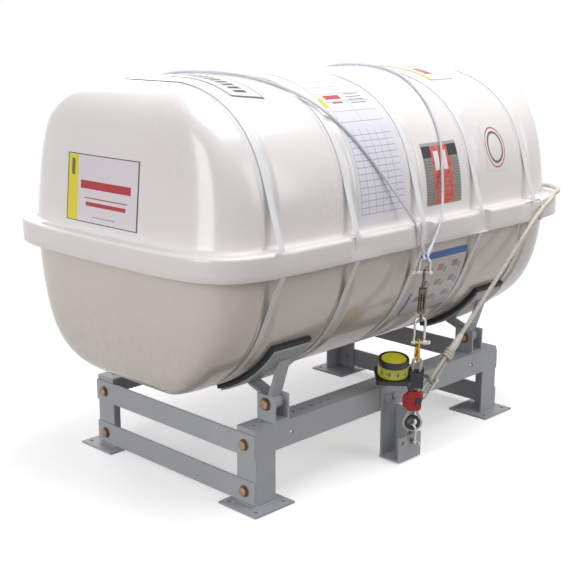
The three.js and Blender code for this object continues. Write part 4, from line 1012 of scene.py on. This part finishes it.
# Rubber pads of the saddles, bent to the lower half
pad = {"outerY": 388, "innerY": 165, "near": 0.8, "thickness": 13, "width": 150}


def underPoint(phi, offset):
    y, z = -body["width"] * cos(phi), bottom - lowerHalf["height"] * sin(phi)
    out = Vector((-cos(phi) / body["width"], -sin(phi) / lowerHalf["height"])).normalized()
    return (y + out.x * offset, z + out.y * offset)


span = np.linspace(acos(pad["outerY"] / body["width"]), acos(pad["innerY"] / body["width"]), 30)
padOutline = [underPoint(a, pad["near"]) for a in span] + [underPoint(a, pad["near"] + pad["thickness"])
    for a in span[::-1]]
padPiece = rounded(outlineSolid(padOutline, pad["width"], alongX(-pad["width"] / 2)), 2, 3, 50)
beadPath = [(-571, -284, 7), (-574, -300, 7.4), (-574, -358, 7.4), (-571, -361.6, 7.4), (-500, -361.6, 7.4),
            (-497, -358, 7)]


def beadRelief(turn, length):
    return 0.85 + 0.2 * abs(sin(pi * length / 5.5))


bead = tubeAlong(smoothPath(beadPath, 1.4), 2.6, 10, relief=beadRelief)
for endName, end, sideName, side in cradleCorners:
    turn = shift(end * saddleX, 0, 0) @ Matrix.Diagonal((1, -side, 1, 1))
    finished(copied(padPiece, turn), f"pad{sideName}{endName}", rubberFinish,
             replaced=(f"{sideName}_{endName}_saddle_pad".lower(),))
    finished(copied(bead, Matrix.Diagonal((-end, -side, 1, 1))), f"footWeld{sideName}{endName}",
             cradleFinish,
             smooth=0)
bpy.data.objects.remove(padPiece)
bpy.data.objects.remove(bead)
print("pads and welds made")


# Release gear, in the line's frame
def bow(width, length, down, thickness, matrix, replaced, name):
    path = [(-width / 2, 0, -length)]
    path += [(-width / 2, 0, -length * (1 - k / 4)) for k in range(1, 4)]
    path += [(width / 2 * cos(a), 0, width / 2 * sin(a)) for a in np.linspace(pi, 0, 25)]
    path += [(width / 2, 0, -length * k / 4) for k in range(1, 5)]
    loop = tubeAlong(path, thickness / 2, 20)
    half = thickness / 2 + 1
    eyes = []
    for side in (-1, 1):
        profile = [(5.0, -half), (thickness * 0.95 - 0.8, -half), (thickness * 0.95, -half + 0.8),
                   (thickness * 0.95, half - 0.8), (thickness * 0.95 - 0.8, half), (5.0, half)]
        at = shift(side * width / 2, 0, -length) @ turnedOnto((1, 0, 0))
        eyes.append(lathe(profile, at, 32))
    whole = placed(joined(loop, *eyes), matrix @ shift(0, 0, -down))
    return finished(whole, name, steelFinish, replaced=(replaced,), smooth=50)


def shacklePin(width, length, down, thickness, matrix, replaced, name, turned=False):
    end = width / 2 + thickness / 2 + 1.3
    profile = [(0, -end - 3), (3.8, -end - 3), (4.5, -end - 2.2), (4.5, end), (7.2, end), (7.2, end + 3.4),
               (6.4, end + 4.2), (0, end + 4.2)]
    shaft = lathe(profile, turnedOnto((1, 0, 0)), 32)
    tab = rounded(outlineSolid(roundedRect(12, 13, 5.5), 4.6, shift(end + 8.6, 0, -2.3) ), 0.8)
    tab = placed(tab, Matrix.Rotation(radians(90), 4, "X"))
    whole = joined(shaft, tab)
    placed(whole, shift(0, 0, -length - down))
    if turned:
        placed(whole, Matrix.Rotation(pi, 4, "Z"))
    placed(whole, matrix)
    return finished(whole, name, steelFinish, replaced=(replaced,), smooth=50)


pinRadius = 4.5
seatGap = 0.3
thimbleDown = 530
longLink = {"length": 65, "down": 192.7}
lipPlace = Vector((14, -436, 64))
bowTop = downLine(thimbleDown + 15 - 4 - pinRadius)
lowerUp = (bowTop - lipPlace).normalized()
lowerRight = (Vector((0, -1, 0)) + lowerUp * lowerUp.y).normalized()
lowerLength = (bowTop - lipPlace).length - 15
lowerFrame = frameOf(lowerRight, lowerUp, lipPlace + lowerUp * lowerLength)
shackles = {
    "front_shackle": {"width": 30, "length": 28, "down": 6, "thickness": 8, "matrix": lineFrame},
    "long_link": {"width": 30, **longLink, "thickness": 8, "matrix": lineFrame},
    "painter_shackle": {"width": 26, "length": 60, "down": 18, "thickness": 7, "matrix": painterFrame},
    "lower_shackle": {"width": 30, "length": lowerLength, "down": 0, "thickness": 8, "matrix": lowerFrame},
}
for nodeName, shackle in shackles.items():
    first, second = nodeName.split("_")
    bow(**shackle, replaced=nodeName + "_bow", name=first + second.title() + "Bow")
    shacklePin(**shackle, replaced=nodeName + "_pin", name=first + second.title() + "Pin",
               turned=first == "front")


def threaded(turn, length):
    return 1 - 0.08 * abs(cos(pi * length / 1.75 + turn / 2))


def screw(eyeAt, start, stop, replaced, name):
    path = [(0, 0, -start - (stop - start) * k / 90) for k in range(91)]
    shank = tubeAlong(path, 4.5, 16, relief=threaded)
    eyeRound = ring(9, 6, shift(0, 0, -eyeAt))
    whole = placed(joined(shank, eyeRound), lineFrame)
    return finished(whole, name, darkSteelFinish, replaced=(replaced,), smooth=60)


screw(35.2, 43, 104, "turnbuckle_upper_screw", "turnbuckleUpperScrew")
screw(176, 142, 168, "turnbuckle_lower_screw", "turnbuckleLowerScrew")

barrel = {"top": 84, "length": 78, "width": 24, "thickness": 15, "slot": 12, "end": 14}
barrelSolid = outlineSolid(roundedRect(barrel["width"], barrel["thickness"], 6.5, 8), barrel["length"],
                     shift(0, 0, -barrel["top"] - barrel["length"]))
slotTool = box((-6, -12, -barrel["top"] - 64), (6, 12, -barrel["top"] - 14))
bored(barrelSolid, slotTool, rod((0, 0, -78), (0, 0, -170), 5.0))
finished(placed(rounded(barrelSolid, 1.2, 3, 40), lineFrame), "turnbuckleBarrel", darkSteelFinish,
         body=barrelBody, replaced=("turnbuckle_barrel",))

hookEye = longLink["down"] + longLink["length"] + 10 - 4 - pinRadius - seatGap
bend = [(0, hookEye + 9), (0, 276), (1, 283), (6, 290), (11, 298), (12, 306), (9, 314), (3, 318.5),
        (-3, 318.5),
        (-9, 314), (-12, 306), (-11.5, 297), (-8.5, 290)]
hookPath = smoothPath([(0, y, -down) for y, down in bend], 2)
hookLength = pathLength(hookPath)


def hookRadius(length):
    return 4.0 - 1.2 * max(0, (length - hookLength + 16) / 16)


keeper = rounded(outlineSolid(roundedRect(17, 40, 8), 4.5, alongY(13.5) @ shift(0, -296, 0)), 1.6, 3)
hookWhole = joined(tubeAlong(hookPath, hookRadius, 18), ring(10, 8, shift(0, 0, -hookEye)), keeper)
finished(placed(hookWhole, lineFrame), "slipHook", brassFinish, replaced=("slip_hook",),
         smooth=60)

loop = {"rope": 9, "top": 319 - 4 - seatGap - pinRadius + 0.2, "reach": 21.5 + seatGap + 4.5}
loopHalf = 12
loopPoints = [(loopHalf * cos(a), 0, loopHalf * sin(a) - loop["top"] - loopHalf)
              for a in np.linspace(0, pi, 9)]
loopPoints += [(-loopHalf, 0, -loop["top"] - loopHalf - k * 55)
               for k in range(1, 4)] + [(-loopHalf, 0, -492)]
loopPoints += [(loop["reach"] * cos(a), 0, loop["reach"] * sin(a) - thimbleDown)
               for a in np.radians(np.linspace(168, 372, 17))]
loopPoints += [(loopHalf, 0, -492)] + [(loopHalf, 0, -loop["top"] - loopHalf - k * 55) for k in (3, 2, 1)]


def twistRelief(turn, length):
    return 0.9 + 0.13 * abs(cos(1.5 * (turn - 2 * pi * length / 30)))


loopRope = tubeAlong(smoothPath(loopPoints, 1.6, closed=True), loop["rope"] / 2, 20, closed=True,
    relief=twistRelief)
finished(placed(loopRope, lineFrame), "ropeLoop", twistFinish, replaced=("rope_loop",), smooth=0)

# Release: ribbed block on a square base, and the sealed drum
block = {"half": 22, "depth": 13, "top": 346, "bottom": 407, "ribs": 4}
pitch = (block["bottom"] - block["top"]) / (block["ribs"] * 2 + 1)
comb = [(-22, -407), (-22, -416), (-4, -416), (-2, -407), (22, -407)]
for k in reversed(range(block["ribs"])):
    upper = -block["top"] - pitch * (2 * k + 1)
    comb += [(22, upper - pitch), (17, upper - pitch), (17, upper), (22, upper)]
comb += [(22, -346), (13, -346), (11, -354), (-11, -354), (-13, -346), (-22, -346)]
gripBlock = outlineSolid(comb, 26, alongY(13))
bored(gripBlock, rod((-12, 0, -340), (-12, 0, -420), 4.9), rod((12, 0, -340), (12, 0, -420), 4.9))
rounded(gripBlock, 0.8, 2, 40)
drumX = -70
baseRight = drumX + 46.5 + 4
basePlate = rounded(outlineSolid(roundedRect(baseRight + 123, 104, 12), 13,
                                 shift((baseRight - 123) / 2, 0, -379)), 1.6, 3)
arm = rounded(box((baseRight - 20, -17, -387), (-21, 13, -366)), 1.5, 2)
finished(placed(joined(gripBlock, basePlate, arm), lineFrame), "releaseBase", blackFinish,
         replaced=("release_base",))
drumAt = lineFrame @ shift(drumX, 0, 0)
sideProfile = [(0, -365.7), (43.5, -365.7), (45.6, -363), (45.6, -332), (44.5, -331), (0, -331)]
finished(lathe(sideProfile, drumAt, 72), "drumSide", yellowFinish,
         replaced=("release_drum",))
ringProfile = [(38, -330.6), (45.6, -330.6), (46.4, -329), (46.4, -314), (45.2, -311.2), (42.6, -310),
               (40.6, -310.6),
               (40.2, -314.5), (38, -315)]
finished(lathe(ringProfile, drumAt, 72), "drumRing", blackFinish)
discProfile = [(0, -330.4), (37.7, -330.4), (37.7, -313.6), (36.6, -312.4), (34.2, -312.8), (33.2, -313.8),
               (0, -313.4)]
finished(lathe(discProfile, drumAt, 72), "drumDisc", yellowFinish)
drumPrint = Print("drum_band_print", "C9CA2A")
for k in range(11):
    drumPrint.field(0.006, 0.019, 0.02 + k / 11, 0.045 + k / 11, "4A4B16", 0.85)
    drumPrint.field(0.009, 0.016, 0.06 + k / 11, 0.07 + k / 11, "33340F", 0.8)
drumPrint.field(0.002, 0.0032, 0.0, 1.0, "6A6B20", 0.8)
drumBand = tubeAlong([(0, 0, -334.2 - k * 6) for k in range(5)], 45.95, 96)
finished(placed(drumBand, drumAt), "drumBand", drumPrint.done(), smooth=60)

grip = rounded(outlineSolid(roundedRect(46, 68, 12), 15, alongY(7.5) @ shift(0, -454, 0)), 2.6, 4)
sideLug = rounded(outlineSolid(roundedRect(40, 54, 19), 8, alongY(4) @ shift(-15, -454, 0)), 1.6, 3)
turnEar = Matrix.Rotation(earTurn, 4, "Z")
ear = rounded(outlineSolid(roundedRect(46, 52, 20), 7, turnEar @ alongY(3.5) @ shift(19, -454, 0)), 1.4, 3)
bores = [rod((x, 0, -410), (x, 0, -500), 4.9) for x in (-12, 12)]
bores.append(placed(rod((29, -25, -464), (29, 25, -464), 9.5), turnEar))
for part in (grip, sideLug, ear):
    bored(part, *[copied(tool, Matrix()) for tool in bores])
for tool in bores:
    bpy.data.objects.remove(tool)
bored(grip, box((3, -12, -467), (30, -2.4, -443)))
finished(placed(rounded(box((5, -5.6, -465), (20.5, -2.6, -445)), 1, 2), lineFrame), "linkInsert",
         blackFinish)
finished(placed(joined(grip, sideLug, ear), lineFrame), "weakLink", redFinish,
         replaced=("weak_link",))

groove = [(15, -2.6), (17, -4.5), (24, -4.9), (24.4, -4), (20.4, -2.4), (19.6, 0), (20.4, 2.4), (24.4, 4),
          (24, 4.9),
          (17, 4.5), (15, 2.6)]
finished(lathe(groove, lineFrame @ shift(0, 0, -thimbleDown) @ Matrix.Rotation(pi / 2, 4, "X"), 48),
         "loopThimble", blackFinish, replaced=("loop_thimble",))

# Painter's end: eye round the shackle pin, a knot of three turns and a whipped sleeve
bight = 4.5 + 6 + 0.3
eyePoints = [(0, 6.2, -160), (0, 8, -128), (0, bight, -100)]
eyePoints += [(0, bight * cos(a), bight * sin(a) - 78) for a in np.linspace(0, pi, 9)]
eyePoints += [(0, -bight, -100), (0, -8, -128), (0, -6.2, -160)]
eyeRope = tubeAlong(smoothPath(eyePoints, 2), 6, 20, relief=braidRelief)
coil = [(12.2 * cos(a), 12.2 * sin(a), -156 - 30 * a / (6 * pi)) for a in np.linspace(0, 6 * pi, 90)]
knotRope = tubeAlong(coil, 5.2, 16, relief=braidRelief)
cross = smoothPath([(13, -4, -150), (17, 4, -162), (15, 9, -176), (8, 14, -190)], 2)
knotCross = tubeAlong(cross, 5, 16, relief=braidRelief)
finished(placed(joined(eyeRope, knotRope, knotCross), painterFrame), "painterKnot", braidFinish,
         replaced=("painter_eye",), smooth=0)
sleeveProfile = [(0, -190), (11, -190), (12, -194), (11.4, -214), (9.6, -238), (8.2, -250), (0, -250)]
finished(lathe(sleeveProfile, painterFrame, 36), "painterSleeve",
         moulded("sleeve_white", "E9E5DD", "D8D2C8", 0.5, 300, 0.2),
         smooth=60)
portAt = shift(0, port["y"], port["z"]) @ turnedOnto((1, 0, 0))
portProfile = [(7.8, 775), (16.6, 775), (16.6, 783), (19.5, 784), (19.5, 787), (17.5, 788), (9, 788),
               (7.8, 786.6)]
finished(lathe(portProfile, portAt, 40), "painterPort", blackFinish,
         replaced=("painter_port",))
print("release gear made")

# Lashing wires over the canister
wires = {"radius": 4, "lift": 4.7, "eye": 10.5, "eyeThickness": 6, "apart": 6.2, "backY": 384, "holeZ": 196,
         "step": 9}
crown = downLine(6 - 15)
frontEye = crown.z + wires["eye"] - 3 - 4 - 4
backEye = wires["holeZ"] + 8 + wires["eye"] - 3 - 0.8
spots = section(0)
spots += [(s * 500, z) for s in (-1, 1) for z in (bottom, top - 9)] + [(s * 497.4, top - 2.7)
    for s in (-1, 1)]
spots += [(s * 491, top - 0.5) for s in (-1, 1)]
wrap = grown(hull(spots), wires["lift"])
laneTables = {
    "left": (-1, [(57, -55), (110, -66), (178, -108), (331, -226), (470, -298), (641, -378), (860, -430),
                  (1300, -440)], -400),
    "right": (1, [(74, 43), (126, 96), (186, 116), (280, 122), (446, 155), (633, 206), (860, 262),
                  (1300, 300)], 330),
}
for wireName, (side, places, anchorX) in laneTables.items():
    startX = crown.x + side * wires["apart"] * lineRight.x
    startY = crown.y + side * wires["apart"] * lineRight.y
    over = [p for p in wrap if p[1] > (top - 14 if p[0] < 0 else bottom - 4)]
    over.sort(key=lambda p: -atan2(p[1] - 231, p[0]))
    route = [(startY, frontEye + wires["eye"])] + over + [(wires["backY"], backEye + wires["eye"])]
    laid = [0.0]
    for a, b in zip(route, route[1:]):
        laid.append(laid[-1] + dist(a, b))
    table = [(0, startX), *places, (laid[-1], anchorX)]
    xs = np.interp(laid, [a for a, _ in table], [b for _, b in table])
    even = np.linspace(0, laid[-1], round(laid[-1] / wires["step"]))
    routeY = np.interp(even, laid, [p[0] for p in route])
    routeZ = np.interp(even, laid, [p[1] for p in route])
    xs = np.interp(even, laid, xs)
    for _ in range(60):
        xs[1:-1] = (xs[:-2] + 2 * xs[1:-1] + xs[2:]) / 4
    points = [Vector(p) for p in zip(xs, routeY, routeZ)]
    wire = tubeAlong(points, wires["radius"], 14)
    turned = shift(startX, startY, frontEye) @ Matrix.Rotation(radians(line["facing"]), 4, "Z")
    ends = [ring(wires["eye"], 6, turned), ring(wires["eye"], 6, shift(anchorX, wires["backY"], backEye)
                                                 @ Matrix.Rotation(pi / 2, 4, "Z"))]
    for a, b in ((points[0], points[3]), (points[-1], points[-4])):
        run = (b - a).normalized()
        profile = [(4.05, 0), (5.2, 0), (5.7, 2), (5.7, 32), (5.2, 34), (4.05, 34)]
        ends.append(lathe(profile, Matrix.Translation(a) @ turnedOnto(run), 24))
    whole = joined(wire, *ends)
    finished(whole, f"lashing{wireName.title()}", wireFinish,
             replaced=(f"lashing_wire_{wireName}",), smooth=60)
print("wires laid")

# Floor, backdrop and soft studio light
bpy.ops.mesh.primitive_plane_add(size=60, location=(0, 0, -0.0005))
floor = bpy.context.object
floor.name = "floor"
floorPaint = Paint("floor_pale")
rays = [floorPaint.node("ShaderNodeLightPath", output=f"Is {kind} Ray")
        for kind in ("Camera", "Glossy", "Transmission")]
isShown = rays[0] | rays[1] | rays[2]
pale = floorPaint.node("ShaderNodeBsdfDiffuse", {}, {"Color": colour("F4F3F2")}, output="BSDF")
glow = floorPaint.node("ShaderNodeEmission", {}, {"Color": (1, 1, 1, 1), "Strength": 0.42},
    output="Emission")
shown = floorPaint.node("ShaderNodeAddShader", {}, {0: pale, 1: glow}, output="Shader")
seen = floorPaint.node("ShaderNodeBsdfDiffuse", {}, {"Color": colour("7C746C")}, output="BSDF")
spot = floorPaint.node("ShaderNodeTexCoord", output="Object")
apart = floorPaint.node("ShaderNodeVectorMath", {"operation": "LENGTH"}, {0: spot}, output="Value")
white = floorPaint.node("ShaderNodeEmission", {}, {"Color": (1, 1, 1, 1), "Strength": 1.0},
    output="Emission")
faded = floorPaint.node("ShaderNodeMixShader", {},
    {0: floorPaint.between(apart, 0.95, 1.6), 1: shown, 2: white},
                        output="Shader")
choice = floorPaint.node("ShaderNodeMixShader", {}, {0: isShown, 1: seen, 2: faded}, output="Shader")
floorPaint.tree.links.new(choice.socket, floorPaint.tree.nodes["Material Output"].inputs["Surface"])
floor.data.materials.append(floorPaint.material)

world = bpy.data.worlds.new("studio")
bpy.context.scene.world = world
world.use_nodes = True
sky = world.node_tree
sky.nodes.clear()
path = sky.nodes.new("ShaderNodeLightPath")
shownPair, shownSum = (sky.nodes.new("ShaderNodeMath") for _ in range(2))
shownPair.operation = shownSum.operation = "MAXIMUM"
sky.links.new(path.outputs["Is Camera Ray"], shownPair.inputs[0])
sky.links.new(path.outputs["Is Glossy Ray"], shownPair.inputs[1])
sky.links.new(shownPair.outputs[0], shownSum.inputs[0])
sky.links.new(path.outputs["Is Transmission Ray"], shownSum.inputs[1])
plain, backdrop, mixed, out = (sky.nodes.new(kind) for kind in (
    "ShaderNodeBackground", "ShaderNodeBackground", "ShaderNodeMixShader", "ShaderNodeOutputWorld"))
plain.inputs["Color"].default_value = colour("F1F1F4")
plain.inputs["Strength"].default_value = 0.42
backdrop.inputs["Color"].default_value = (1, 1, 1, 1)
sky.links.new(shownSum.outputs[0], mixed.inputs[0])
sky.links.new(plain.outputs[0], mixed.inputs[1])
sky.links.new(backdrop.outputs[0], mixed.inputs[2])
sky.links.new(mixed.outputs[0], out.inputs["Surface"])

lamps = {
    "overhead": {"place": (0.3, -0.6, 3.6), "target": (0, 0, 0.8), "size": 2.6, "power": 78},
    "front": {"place": (1.8, -4.2, 2.4), "target": (0, -0.2, 0.8), "size": 2.2, "power": 42},
    "left": {"place": (-4.4, -0.4, 1.5), "target": (-0.4, 0, 0.6), "size": 2.0, "power": 66},
    "back": {"place": (1.0, 4.0, 2.6), "target": (0, 0, 0.8), "size": 2.4, "power": 36},
}
for lampName, lamp in lamps.items():
    bpy.ops.object.light_add(type="AREA", location=lamp["place"])
    light = bpy.context.object
    light.name = lampName
    light.data.size = lamp["size"]
    light.data.energy = lamp["power"]
    light.rotation_euler = (Vector(lamp["target"]) - Vector(lamp["place"])).to_track_quat("-Z",
        "Y").to_euler()
bpy.context.scene.view_settings.view_transform = "Standard"
print("studio lit")
